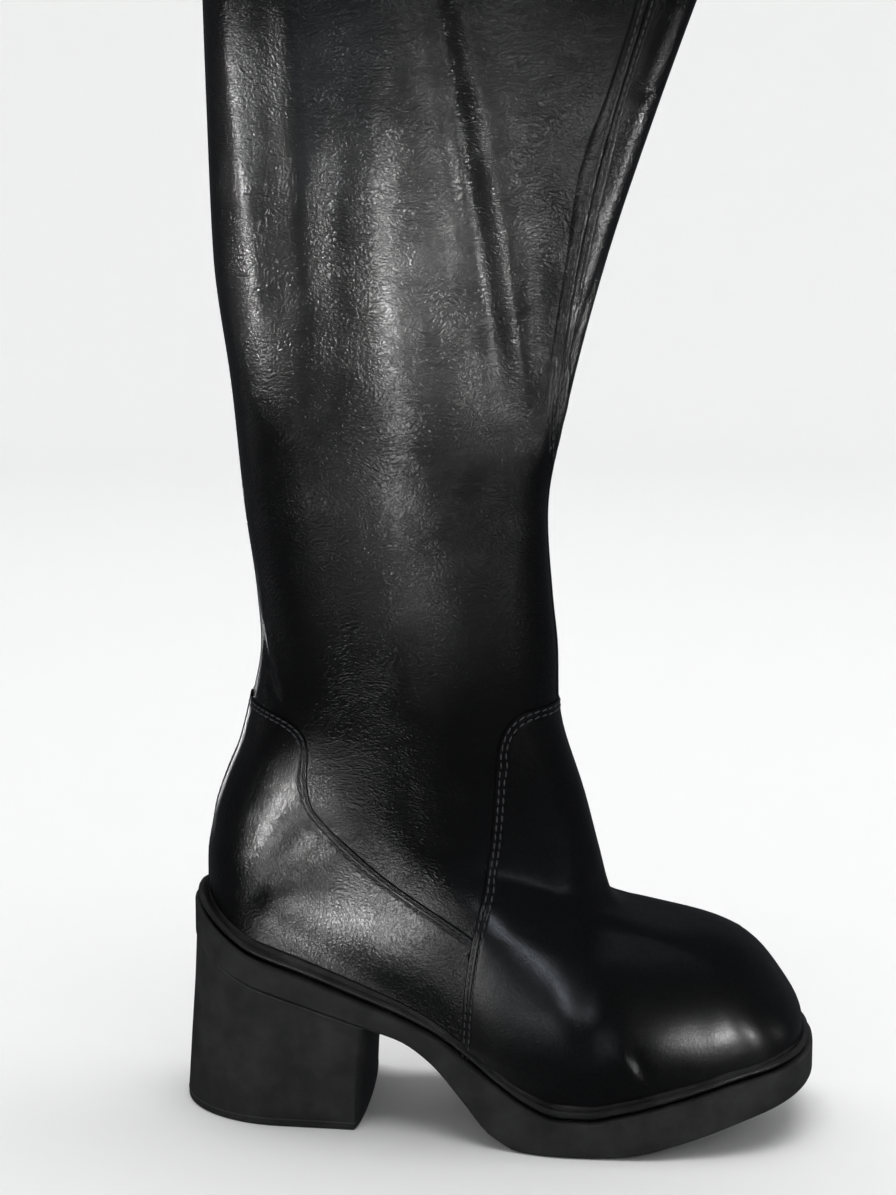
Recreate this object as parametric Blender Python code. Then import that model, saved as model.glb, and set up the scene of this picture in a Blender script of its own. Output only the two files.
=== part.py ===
"""Knee-high platform boot, right foot: upper, vamp, counter, welt, outsole, heel, top lift, insole.

Metres, +Z up. The boot stands on its sole with the toe towards +X and its outer side towards -Y.
The tables are drafted in millimetres for a boot of the drafted length, width and height, and the
driving sizes below stretch them. In the draft X is 0 at the sole's back and Z is 0 at the floor.
"""

import bpy
from math import cos, hypot, pi, sin

# Driving sizes, metres.
SOLE_LENGTH = 0.270
BALL_WIDTH = 0.097
BOOT_HEIGHT = 0.495

# Thicknesses and clearances, metres.
LEATHER = 0.0020
OVERLAY = 0.0010
GAP = 0.0003
TOP_LIFT = 0.0032
INSOLE = 0.0025
WELT_CLEAR = 0.0004
RAND = 0.0022

# The draft's own sizes in millimetres, and what one drafted millimetre is on each axis.
DRAFT_LENGTH = 270.0
DRAFT_WIDTH = 97.0
DRAFT_HEIGHT = 495.0
LONG = SOLE_LENGTH / DRAFT_LENGTH
WIDE = BALL_WIDTH / DRAFT_WIDTH
TALL = BOOT_HEIGHT / DRAFT_HEIGHT
MIDDLE_X = 133.0
MIDDLE_Y = -1.8

# Small drafted sizes: the rounding of the sole's lower and upper edges, how far below its crown the
# bead starts to round over and how wide its crown lies in, and how far the upper's second ring
# stands over the rand.
EDGE_ROUND = 1.0
SEAT_CHAMFER = 0.8
BEAD_SIDE = 1.6
BEAD_SHOULDER = 0.5
BEAD_CROWN = 1.5
RAND_STEP = 0.6

# Points round each ring: steps on one end's curve and along one side.
END_STEPS = 6
SIDE_STEPS = 15

# The sole along its length: underside, seat for the upper, the bead's crown, the rand's inner edge,
# and how far the bead is set in from the sole's side.
SOLE_COLUMNS = ("share", "under", "seat", "bead", "lip", "bead_in")
SOLE = (
    (0.00, 77.0, 84.2, 98.0, 107.0, 1.1),
    (0.03, 72.4, 81.5, 92.2, 101.0, 1.4),
    (0.06, 68.0, 78.7, 86.6, 91.6, 1.8),
    (0.10, 62.7, 75.0, 80.4, 82.8, 2.0),
    (0.20, 53.5, 65.7, 70.4, 71.2, 2.2),
    (0.30, 44.9, 55.3, 59.9, 60.3, 2.2),
    (0.35, 41.2, 50.5, 55.0, 55.3, 2.2),
    (0.40, 32.6, 44.5, 49.0, 49.2, 2.2),
    (0.45, 19.0, 36.4, 40.9, 41.0, 2.2),
    (0.50, 5.2, 27.1, 31.5, 31.6, 2.2),
    (0.55, 0.0, 18.9, 23.3, 23.4, 2.2),
    (0.60, 0.0, 14.6, 19.0, 19.1, 2.2),
    (0.65, 0.0, 14.4, 18.8, 18.9, 2.2),
    (0.70, 0.8, 17.2, 21.6, 21.7, 2.2),
    (0.80, 6.8, 24.4, 28.8, 28.9, 2.2),
    (0.90, 15.6, 32.2, 36.6, 36.7, 2.2),
    (1.00, 23.4, 36.6, 41.0, 41.1, 2.2),
)

# Plan of the sole: middle line, half width and how far its side leans out below.
PLAN_COLUMNS = ("share", "middle", "half", "flare")
PLAN = (
    (0.00, 0.0, 34.0, 0.0),
    (0.12, 0.0, 34.5, 0.0),
    (0.28, -0.5, 34.0, 0.2),
    (0.38, -2.0, 35.0, 1.0),
    (0.50, -3.0, 42.5, 2.0),
    (0.62, -2.0, 48.5, 2.4),
    (0.72, -1.2, 48.3, 2.2),
    (0.84, 0.5, 44.0, 1.2),
    (0.92, 3.5, 40.0, 0.6),
    (1.00, 7.0, 37.0, 0.2),
)
# The sole's rounded back and front: length and power of each.
SOLE_ENDS = (34.0, 2.15, 30.0, 2.5)

# One row for each ring of the upper, from the lasted edge to the collar: the ring's back and front,
# its height at a quarter, half and three quarters of its length, its half widths at six places,
# how far it follows the sole's middle line, and the length of its rounded back and front.
UPPER_COLUMNS = (
    "name", "back_x", "back_z", "z25", "z50", "z75", "front_x", "front_z",
    "w15", "w35", "w55", "w70", "w85", "w100", "swing", "back_round", "front_round",
)
UPPER = (
    ("lip", 7.0, 107.0, 72.0, 39.5, 30.5, 264.4, 46.5, 29.0, 29.3, 40.0, 43.2, 39.2, 32.0, 1.0, 29, 25),
    ("bulge", 7.0, 112.5, 81.0, 50.0, 41.0, 261.8, 53.5, 31.0, 31.3, 41.0, 45.0, 41.0, 33.5, 1.0, 31, 25),
    ("wall", 7.7, 118.0, 91.0, 62.0, 52.0, 256.6, 61.0, 32.6, 33.0, 40.6, 44.6, 40.6, 33.0, 1.0, 32, 25),
    ("edge", 9.3, 125.5, 103.0, 77.0, 66.0, 249.6, 71.5, 33.0, 34.2, 39.6, 41.5, 37.5, 31.0, 1.0, 33, 25),
    ("top", 10.4, 133.0, 115.0, 93.0, 78.5, 241.0, 80.3, 32.9, 35.0, 38.6, 37.0, 32.5, 27.0, 1.0, 33, 24),
    ("bridge", 12.7, 141.0, 127.0, 107.5, 89.5, 226.0, 87.2, 32.8, 35.6, 37.6, 32.6, 27.0, 23.0, 0.9, 33, 24),
    ("cone", 15.2, 148.0, 137.0, 120.5, 101.5, 202.0, 90.4, 32.8, 36.2, 36.6, 31.4, 24.0, 20.5, 0.7, 33, 25),
    ("throat", 18.0, 155.0, 146.0, 132.0, 114.5, 181.8, 97.6, 32.8, 36.6, 36.0, 31.0, 23.0, 19.5, 0.5, 33, 26),
    ("rise", 20.6, 161.0, 153.5, 143.0, 129.5, 175.8, 116.0, 33.0, 36.8, 36.0, 31.0, 22.6, 19.5, 0.3, 33, 27),
    ("instep", 23.0, 169.0, 164.0, 158.0, 150.0, 168.7, 142.0, 33.0, 37.0, 36.2, 31.4, 23.0, 20.0, 0.1, 33, 28),
    ("ankle", 26.2, 183.0, 182.0, 181.0, 180.5, 156.7, 182.0, 33.0, 37.2, 37.0, 33.0, 25.0, 22.0, 0.0, 34, 30),
    ("small", 30.2, 206.0, 206.0, 206.0, 206.0, 156.0, 206.0, 33.0, 37.4, 37.6, 33.6, 26.0, 22.5, 0.0, 35, 30),
    ("leg", 28.6, 229.0, 229.0, 229.0, 229.0, 153.4, 229.0, 33.4, 37.6, 37.6, 33.2, 25.0, 22.0, 0.0, 36, 28),
    ("calf", 23.6, 265.0, 265.0, 265.0, 265.0, 150.7, 265.0, 34.6, 38.4, 38.0, 32.0, 21.5, 18.5, 0.0, 38, 24),
    ("fold", 18.6, 315.0, 315.0, 315.0, 315.0, 159.6, 315.0, 36.0, 39.4, 37.8, 29.0, 18.0, 14.5, 0.0, 40, 20),
    ("wedge", 11.4, 370.0, 370.0, 370.0, 370.0, 173.2, 370.0, 36.0, 39.4, 35.8, 25.0, 16.0, 12.0, 0.0, 42, 17),
    ("knee", 9.3, 430.0, 430.0, 430.0, 430.0, 192.0, 430.0, 34.6, 37.8, 31.0, 21.6, 14.6, 11.0, 0.0, 42, 16),
    ("collar", 7.6, 495.0, 495.0, 495.0, 495.0, 214.5, 495.0, 33.0, 36.0, 26.0, 19.6, 14.0, 10.5, 0.0, 42, 16),
)
WIDTH_SHARES = (0, 0.15, 0.35, 0.55, 0.7, 0.85, 1)
HEIGHT_SHARES = (0, 0.25, 0.5, 0.75, 1)
# Rings made from each drafted row to the next, and the powers of the rounded back and front.
RING_STEPS = (1, 1, 1, 1, 1, 1, 2, 1, 1, 1, 1, 1, 1, 1, 1, 1, 1)
UPPER_POWERS = (2.15, 2.35)
# How many rings the overlays' shell takes, from the rand to above the ankle.
OVERLAY_RINGS = 16

# Side outlines of the two overlays, x and z: first the edge that shows, then back along the rand
# between the two x places of the foot, then round the corner. The cutter reaches out on both sides.
COUNTER_EDGE = (
    (-20.0, 183.0), (22.0, 183.0), (33.0, 183.0), (44.0, 180.5), (51.0, 177.0), (54.5, 172.0),
    (55.0, 164.0), (54.4, 154.0), (55.6, 145.0), (59.0, 139.0), (64.0, 134.0), (72.0, 127.0),
    (86.0, 115.0), (103.0, 104.5), (116.0, 97.0), (121.5, 92.0), (120.8, 70.0),
)
VAMP_EDGE = (
    (300.0, 186.0), (158.0, 185.5), (148.0, 185.0), (142.5, 183.3), (137.5, 179.5), (134.5, 173.5),
    (133.2, 165.0), (132.6, 143.0), (131.4, 126.0), (129.2, 109.0), (125.8, 94.0), (122.3, 70.0),
)
COUNTER_FOOT = (119.5, 6.0)
COUNTER_CORNER = (-20.0, 106.0)
VAMP_FOOT = (121.0, 262.0)
VAMP_CORNER = (300.0, 44.0)
FOOT_STEPS = 16
PRISM_REACH = 0.09

# The heel block's rings, from its foot to the sole: back, front, half width, the length of its
# rounded back and the corners of its breast.
HEEL_COLUMNS = ("height", "back", "front", "half", "back_round", "front_corner")
HEEL = (
    (0.0, -4.3, 77.6, 36.2, 46.0, 3.0),
    (0.35, -2.6, 78.6, 35.6, 42.0, 4.0),
    (0.75, -0.6, 81.2, 34.8, 37.0, 6.0),
    (1.0, 0.2, 84.5, 34.3, 35.0, 8.0),
)
HEEL_POWERS = (2.0, 2.0)


def column(table, columns, name):
    """The numbers of one named column."""
    place = columns.index(name)
    return [row[place] for row in table]


def smooth(places, values, at):
    """A value of the curve through the points, which never swings past them."""
    last = len(places) - 1
    if at <= places[0]:
        return values[0]
    if at >= places[last]:
        return values[last]
    steps = [places[i + 1] - places[i] for i in range(last)]
    slopes = [(values[i + 1] - values[i]) / steps[i] for i in range(last)]
    i = max(k for k in range(last) if places[k] <= at)
    before, after = (tangent(steps, slopes, k) for k in (i, i + 1))
    t = (at - places[i]) / steps[i]
    rise = values[i + 1] - values[i]
    bend = t * (1 - t) * steps[i]
    return values[i] + rise * t * t * (3 - 2 * t) + bend * ((1 - t) * before - t * after)


def tangent(steps, slopes, k):
    """The curve's slope at point k."""
    if k == 0:
        return slopes[0]
    if k == len(slopes):
        return slopes[-1]
    below, above = slopes[k - 1], slopes[k]
    if below * above <= 0:
        return 0.0
    run = steps[k - 1] + steps[k]
    return 3 * run / ((run + steps[k]) / below + (run + steps[k - 1]) / above)


def end_curve(steps, power):
    """Points of a rounded end: how far in along the boot, and what share of the width."""
    points = []
    for k in range(steps + 1):
        turn = pi / 2 * k / steps
        points.append((1 - cos(turn) ** (2 / power), sin(turn) ** (2 / power)))
    return points


def stations(back, front, back_round, back_power, front_round, front_power):
    """Places along one side of a ring, each with its share of the width."""
    back_end = [(back + back_round * d, f) for d, f in end_curve(END_STEPS, back_power)]
    front_end = [(front - front_round * d, f) for d, f in end_curve(END_STEPS, front_power)]
    start, stop = back_end[-1][0], front_end[-1][0]
    side = [(start + (stop - start) * k / SIDE_STEPS, 1.0) for k in range(1, SIDE_STEPS)]
    return back_end + side + front_end[::-1]


def closed_ring(places, half_width, middle, height):
    """A ring from the back along the outer side to the front and home along the inner side."""
    outer = [(x, middle(x) - half_width(x) * f, height(x)) for x, f in places]
    inner = [(x, middle(x) + half_width(x) * f, height(x)) for x, f in places]
    return outer + inner[-2:0:-1]


def sole_value(name):
    """A height or width of the sole as a function of x."""
    shares = column(SOLE, SOLE_COLUMNS, "share")
    values = column(SOLE, SOLE_COLUMNS, name)
    return lambda x: smooth(shares, values, x / DRAFT_LENGTH)


def plan_value(name):
    """The sole's middle line, half width or flare as a function of x."""
    shares = column(PLAN, PLAN_COLUMNS, "share")
    values = column(PLAN, PLAN_COLUMNS, name)
    return lambda x: smooth(shares, values, x / DRAFT_LENGTH)


def sole_ring(height, out=lambda x: 0.0):
    """The sole's outline at a height that varies along it, moved out by a width that varies too."""
    places = stations(0.0, DRAFT_LENGTH, *SOLE_ENDS)
    ring = closed_ring(places, plan_value("half"), plan_value("middle"), height)
    return level_grown(ring, out)


def upper_levels():
    """How far up the upper each of its drafted rings lies, measured along front and back."""
    back_x, back_z, front_x, front_z = (
        column(UPPER, UPPER_COLUMNS, name) for name in ("back_x", "back_z", "front_x", "front_z"))
    levels = [0.0]
    for k in range(len(UPPER) - 1):
        back = hypot(back_x[k + 1] - back_x[k], back_z[k + 1] - back_z[k])
        front = hypot(front_x[k + 1] - front_x[k], front_z[k + 1] - front_z[k])
        levels.append(levels[-1] + (back + front) / 2)
    return levels


def upper_ring(level):
    """The ring of the upper at a level, in the draft's millimetres."""
    levels = upper_levels()
    row = {
        name: smooth(levels, column(UPPER, UPPER_COLUMNS, name), level)
        for name in UPPER_COLUMNS[1:]
    }
    back, front = row["back_x"], row["front_x"]
    run = front - back
    places = stations(
        back, front, row["back_round"], UPPER_POWERS[0], row["front_round"], UPPER_POWERS[1])
    widths = [row["w15"], row["w15"], row["w35"], row["w55"], row["w70"], row["w85"], row["w100"]]
    heights = [row["back_z"], row["z25"], row["z50"], row["z75"], row["front_z"]]
    middle = plan_value("middle")
    return closed_ring(
        places,
        lambda x: smooth(WIDTH_SHARES, widths, (x - back) / run),
        lambda x: row["swing"] * middle(x),
        lambda x: smooth(HEIGHT_SHARES, heights, (x - back) / run),
    )


def upper_rings():
    """All rings of the upper's outer face, from its lasted edge on the seat to the collar."""
    levels = upper_levels()
    rings = []
    for k, steps in enumerate(RING_STEPS):
        for step in range(steps):
            rings.append(upper_ring(levels[k] + (levels[k + 1] - levels[k]) * step / steps))
    rings.append(upper_ring(levels[-1]))
    seat, lip = sole_value("seat"), sole_value("lip")
    lasted = [(x, y, seat(x) + GAP / TALL) for x, y, z in rings[0]]
    rand = [(x, y, lip(x) + RAND_STEP) for x, y, z in rings[0]]
    return [lasted, rand] + rings


def metres(ring):
    """A drafted ring at its real size, with the boot's middle at the origin."""
    return [
        ((x - MIDDLE_X) * LONG, (y - MIDDLE_Y) * WIDE, z * TALL)
        for x, y, z in ring
    ]


def minus(a, b):
    """One point less another."""
    return (a[0] - b[0], a[1] - b[1], a[2] - b[2])


def cross(a, b):
    """The direction square to two others."""
    return (
        a[1] * b[2] - a[2] * b[1],
        a[2] * b[0] - a[0] * b[2],
        a[0] * b[1] - a[1] * b[0],
    )


def grown(rings, distance):
    """The same rings moved along their outward normals."""
    count = len(rings[0])
    moved = []
    for i, ring in enumerate(rings):
        below, above = rings[max(i - 1, 0)], rings[min(i + 1, len(rings) - 1)]
        moved_ring = []
        for j, point in enumerate(ring):
            along = minus(ring[(j + 1) % count], ring[j - 1])
            upward = minus(above[j], below[j])
            normal = cross(along, upward)
            size = hypot(*normal)
            moved_ring.append(tuple(p + distance * n / size for p, n in zip(point, normal)))
        moved.append(moved_ring)
    return moved


def level_grown(ring, out):
    """A ring moved out in plan only, by a width that may vary along the boot."""
    count = len(ring)
    moved = []
    for j, (x, y, z) in enumerate(ring):
        along = minus(ring[(j + 1) % count], ring[j - 1])
        size = hypot(along[0], along[1])
        moved.append((x + out(x) * along[1] / size, y - out(x) * along[0] / size, z))
    return moved


def material(name, colour, roughness):
    """A plain finish for one sub-part."""
    finish = bpy.data.materials.new(name)
    finish.use_nodes = True
    shader = finish.node_tree.nodes["Principled BSDF"]
    shader.inputs["Base Color"].default_value = (*colour, 1)
    shader.inputs["Roughness"].default_value = roughness
    return finish


def solid(name, points, faces, finish):
    """A mesh object with its place in its mesh."""
    mesh = bpy.data.meshes.new(name)
    mesh.from_pydata(points, [], faces)
    mesh.materials.append(finish)
    body = bpy.data.objects.new(name, mesh)
    bpy.context.collection.objects.link(body)
    return body


def skin_faces(low, high, count, downwards=False):
    """Triangles from one ring to the next, split along the same diagonal going up or down."""
    faces = []
    for j in range(count):
        k = (j + 1) % count
        corners = (low + j, low + k, high + k, high + j)
        first = 1 if downwards else 0
        a, b, c, d = corners[first:] + corners[:first]
        faces += [(a, b, c), (a, c, d)]
    return faces


def across_faces(start, count, facing_up):
    """A cap that joins the two sides of a ring station by station."""
    half = count // 2
    faces = []
    for j in range(half):
        a, b = start + j, start + j + 1
        c = start + (count - j - 1) % count
        d = start + (count - j) % count
        face = tuple(dict.fromkeys((a, b, c, d)))
        faces.append(face if facing_up else face[::-1])
    return faces


def block(name, rings, finish):
    """A solid body of rings with a cap on its foot and its top."""
    count = len(rings[0])
    faces = across_faces(0, count, False)
    for i in range(len(rings) - 1):
        faces += skin_faces(i * count, (i + 1) * count, count)
    faces += across_faces((len(rings) - 1) * count, count, True)
    return solid(name, [p for ring in rings for p in ring], faces, finish)


def tube(name, outside, inside, finish):
    """A hollow body: up the outside rings, over, down the inside rings and round to the start."""
    rings = outside + inside[::-1]
    count = len(rings[0])
    points = [p for ring in rings for p in ring]
    faces = []
    for i in range(len(rings)):
        after = (i + 1) % len(rings)
        faces += skin_faces(i * count, after * count, count, i >= len(outside))
    return solid(name, points, faces, finish)


def turns_left(outline):
    """Whether a side outline runs anticlockwise as x and z are drawn."""
    area = 0.0
    for (x0, z0), (x1, z1) in zip(outline, outline[1:] + outline[:1]):
        area += x0 * z1 - x1 * z0
    return area > 0


def prism(name, outline):
    """A cutter: a side outline run straight through the boot."""
    if not turns_left(outline):
        outline = outline[::-1]
    count = len(outline)
    points = [
        ((x - MIDDLE_X) * LONG, y, z * TALL)
        for y in (-PRISM_REACH, PRISM_REACH)
        for x, z in outline
    ]
    faces = [tuple(range(count)), tuple(range(2 * count - 1, count - 1, -1))]
    for j in range(count):
        k = (j + 1) % count
        faces.append((j, j + count, k + count, k))
    cutter = solid(name, points, faces, material(name, (0.5, 0.5, 0.5), 0.5))
    cutter.display_type = "WIRE"
    cutter.hide_render = True
    return cutter


def panel(name, rings, outline, finish):
    """An overlay: the part of a shell just outside the upper that lies in a side outline."""
    outside = grown(rings, GAP + OVERLAY)[1:OVERLAY_RINGS]
    inside = grown(rings, GAP)[1:OVERLAY_RINGS]
    shell = tube(name, outside, inside, finish)
    cutter = prism(name + "_cutter", outline)
    cut = shell.modifiers.new("outline", "BOOLEAN")
    cut.operation = "INTERSECT"
    cut.solver = "EXACT"
    cut.object = cutter
    return shell


def above_rand(start, stop):
    """Points of a side outline just above the rand, from one x to another."""
    lip = sole_value("lip")
    points = []
    for k in range(FOOT_STEPS + 1):
        x = start + (stop - start) * k / FOOT_STEPS
        points.append((x, lip(x) + RAND / TALL))
    return tuple(points)


def height_at(height, x):
    """A drafted height of the sole at a real x, in metres."""
    return height(x / LONG + MIDDLE_X) * TALL


def make_upper(finish):
    """Foot and shaft as one hollow solid, open at the collar and underneath."""
    rings = [metres(ring) for ring in upper_rings()]
    inside = grown(rings, -LEATHER)
    inside[0] = level_grown(rings[0], lambda x: -LEATHER)
    return tube("upper", rings, inside, finish)


def make_counter(finish):
    """The overlay round the heel, with its tail towards the vamp."""
    rings = [metres(ring) for ring in upper_rings()]
    outline = COUNTER_EDGE + above_rand(*COUNTER_FOOT) + (COUNTER_CORNER,)
    return panel("counter", rings, outline, finish)


def make_vamp(finish):
    """The overlay over the toes and up the front of the ankle."""
    rings = [metres(ring) for ring in upper_rings()]
    outline = VAMP_EDGE + above_rand(*VAMP_FOOT) + (VAMP_CORNER,)
    return panel("vamp", rings, outline, finish)


def make_welt(finish):
    """The rand and bead that run round the upper on the sole's edge."""
    seat, bead, lip, bead_in = (sole_value(name) for name in ("seat", "bead", "lip", "bead_in"))
    clear = GAP / TALL
    foot = sole_ring(lambda x: seat(x) + clear, lambda x: -bead_in(x))
    side = sole_ring(lambda x: bead(x) - BEAD_SIDE, lambda x: -bead_in(x))
    shoulder = sole_ring(
        lambda x: bead(x) - BEAD_SHOULDER, lambda x: -bead_in(x) - BEAD_SHOULDER)
    crown = sole_ring(bead, lambda x: -bead_in(x) - BEAD_CROWN)
    inner = level_grown(metres(upper_rings()[0]), lambda x: WELT_CLEAR)
    inner_top = [(x, y, height_at(lip, x)) for x, y, z in inner]
    inner_foot = [(x, y, height_at(seat, x) + GAP) for x, y, z in inner]
    outside = [metres(ring) for ring in (foot, side, shoulder, crown)]
    return tube("welt", outside, [inner_foot, inner_top], finish)


def make_outsole(finish):
    """The platform: flat under the ball, with its arch, its toe spring and the heel's seat."""
    under, seat, flare = sole_value("under"), sole_value("seat"), plan_value("flare")
    shoulder = EDGE_ROUND * (1 - cos(pi / 4))
    rings = [
        sole_ring(under, lambda x: flare(x) - EDGE_ROUND),
        sole_ring(lambda x: under(x) + shoulder, lambda x: flare(x) - shoulder),
        sole_ring(lambda x: under(x) + EDGE_ROUND, flare),
        sole_ring(lambda x: seat(x) - SEAT_CHAMFER),
        sole_ring(seat, lambda x: -SEAT_CHAMFER),
    ]
    return block("outsole", [metres(ring) for ring in rings], finish)


def heel_ring(share, height):
    """The heel block's outline at a share of its height."""
    shares = column(HEEL, HEEL_COLUMNS, "height")
    back, front, half, back_round, corner = (
        smooth(shares, column(HEEL, HEEL_COLUMNS, name), share) for name in HEEL_COLUMNS[1:])
    places = stations(back, front, back_round, HEEL_POWERS[0], corner, HEEL_POWERS[1])
    return closed_ring(places, lambda x: half, lambda x: 0.0, height)


def heel_height(share):
    """Heights between the top lift and the sole's underside, as a function of x."""
    under = sole_value("under")
    foot = (TOP_LIFT + GAP) / TALL
    return lambda x: foot + (under(max(x, 0.0)) - GAP / TALL - foot) * share


def make_heel(finish):
    """The block, from the top lift to the sole's underside."""
    shares = column(HEEL, HEEL_COLUMNS, "height")
    rings = [heel_ring(share, heel_height(share)) for share in shares]
    return block("heel", [metres(ring) for ring in rings], finish)


def make_top_lift(finish):
    """The thin wearing piece under the block."""
    rings = [heel_ring(0.0, lambda x: 0.0), heel_ring(0.0, lambda x: TOP_LIFT / TALL)]
    return block("top_lift", [metres(ring) for ring in rings], finish)


def make_insole(finish):
    """A flat inner sole on the seat, inside the upper's wall."""
    rim = level_grown(metres(upper_rings()[0]), lambda x: -LEATHER - 2 * GAP)
    seat = sole_value("seat")
    rings = []
    for lift in (GAP, GAP + INSOLE):
        rings.append([(x, y, height_at(seat, x) + lift) for x, y, z in rim])
    return block("insole", rings, finish)


def build():
    """Clear the scene and make every piece."""
    for old in list(bpy.data.objects):
        bpy.data.objects.remove(old, do_unlink=True)
    make_upper(material("upper_leather", (0.012, 0.012, 0.013), 0.3))
    make_counter(material("counter_leather", (0.014, 0.014, 0.015), 0.25))
    make_vamp(material("vamp_leather", (0.011, 0.011, 0.012), 0.25))
    make_welt(material("welt_rubber", (0.016, 0.016, 0.017), 0.5))
    make_outsole(material("outsole_rubber", (0.02, 0.02, 0.021), 0.7))
    make_heel(material("heel_rubber", (0.021, 0.021, 0.022), 0.7))
    make_top_lift(material("top_lift_rubber", (0.018, 0.018, 0.019), 0.75))
    make_insole(material("insole_lining", (0.09, 0.085, 0.08), 0.8))


build()
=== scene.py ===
# %% [markdown]
# # A knee-high platform boot
# This lesson dresses the bare solids of a right boot: a tall leather shaft over a thick rubber sole
# with a block heel. The solids settle the boot's size, and the tables here repeat the measures
# that they were drafted with. The leather is cut as flat sheets and laid on one smooth form, as a
# shoemaker pulls it over a last, so that folds, edges and stitches agree.

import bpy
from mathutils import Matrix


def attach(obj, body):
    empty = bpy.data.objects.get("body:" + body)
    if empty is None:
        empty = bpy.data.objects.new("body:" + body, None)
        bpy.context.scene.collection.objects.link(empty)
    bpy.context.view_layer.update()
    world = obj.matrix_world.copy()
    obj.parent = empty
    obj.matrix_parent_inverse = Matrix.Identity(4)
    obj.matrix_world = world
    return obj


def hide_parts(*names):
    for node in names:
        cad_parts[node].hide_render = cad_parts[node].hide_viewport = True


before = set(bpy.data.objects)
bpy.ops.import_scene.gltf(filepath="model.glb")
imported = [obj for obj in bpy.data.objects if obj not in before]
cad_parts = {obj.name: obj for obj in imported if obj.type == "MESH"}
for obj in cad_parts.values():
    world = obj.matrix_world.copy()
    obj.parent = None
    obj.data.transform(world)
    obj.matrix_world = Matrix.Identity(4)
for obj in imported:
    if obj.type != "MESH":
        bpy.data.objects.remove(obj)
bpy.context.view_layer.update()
print("solids:", ", ".join(sorted(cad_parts)))

import bpy
import numpy as np
from mathutils import Matrix, Vector

# %% [markdown]
# ## Places
# The boot is drafted in millimetres from the back of its sole and from the floor, because a
# shoemaker measures it that way. The outer side faces -Y. Two helpers turn drafted places into
# the frame's metres and back. Two more select one piece alone and run an operator on its whole
# mesh, since an operator acts on all that is selected.

# %% Draft and frame
MM = 0.001
MIDDLE = np.array([133.0, -1.8, 0.0])
OUTER, INNER = -1, 1


def metres(places):
    """Drafted places in the frame's metres."""
    return (np.asarray(places, float) - MIDDLE) * MM


def drafted(points):
    """The frame's metres as drafted places."""
    return np.asarray(points, float) / MM + MIDDLE


def alone(piece):
    """Select one object and nothing else."""
    bpy.ops.object.select_all(action="DESELECT")
    piece.select_set(True)
    bpy.context.view_layer.objects.active = piece


def on_all(piece, operator, **settings):
    """Run an edit mode operator on a whole mesh."""
    alone(piece)
    bpy.ops.object.mode_set(mode="EDIT")
    bpy.ops.mesh.select_all(action="SELECT")
    operator(**settings)
    bpy.ops.object.mode_set(mode="OBJECT")


# %% [markdown]
# ## The form
# A last is a solid foot that leather is pulled over. Here it is a table of rings from the sole's
# edge up to the collar, each with its back, front, heights and half widths. Curves run through
# the rows, so the form is smooth both along a ring and up the boot. It could be sculpted, but a
# table keeps the true outline and lets every sheet, strip and stitch find its place by row.

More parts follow.
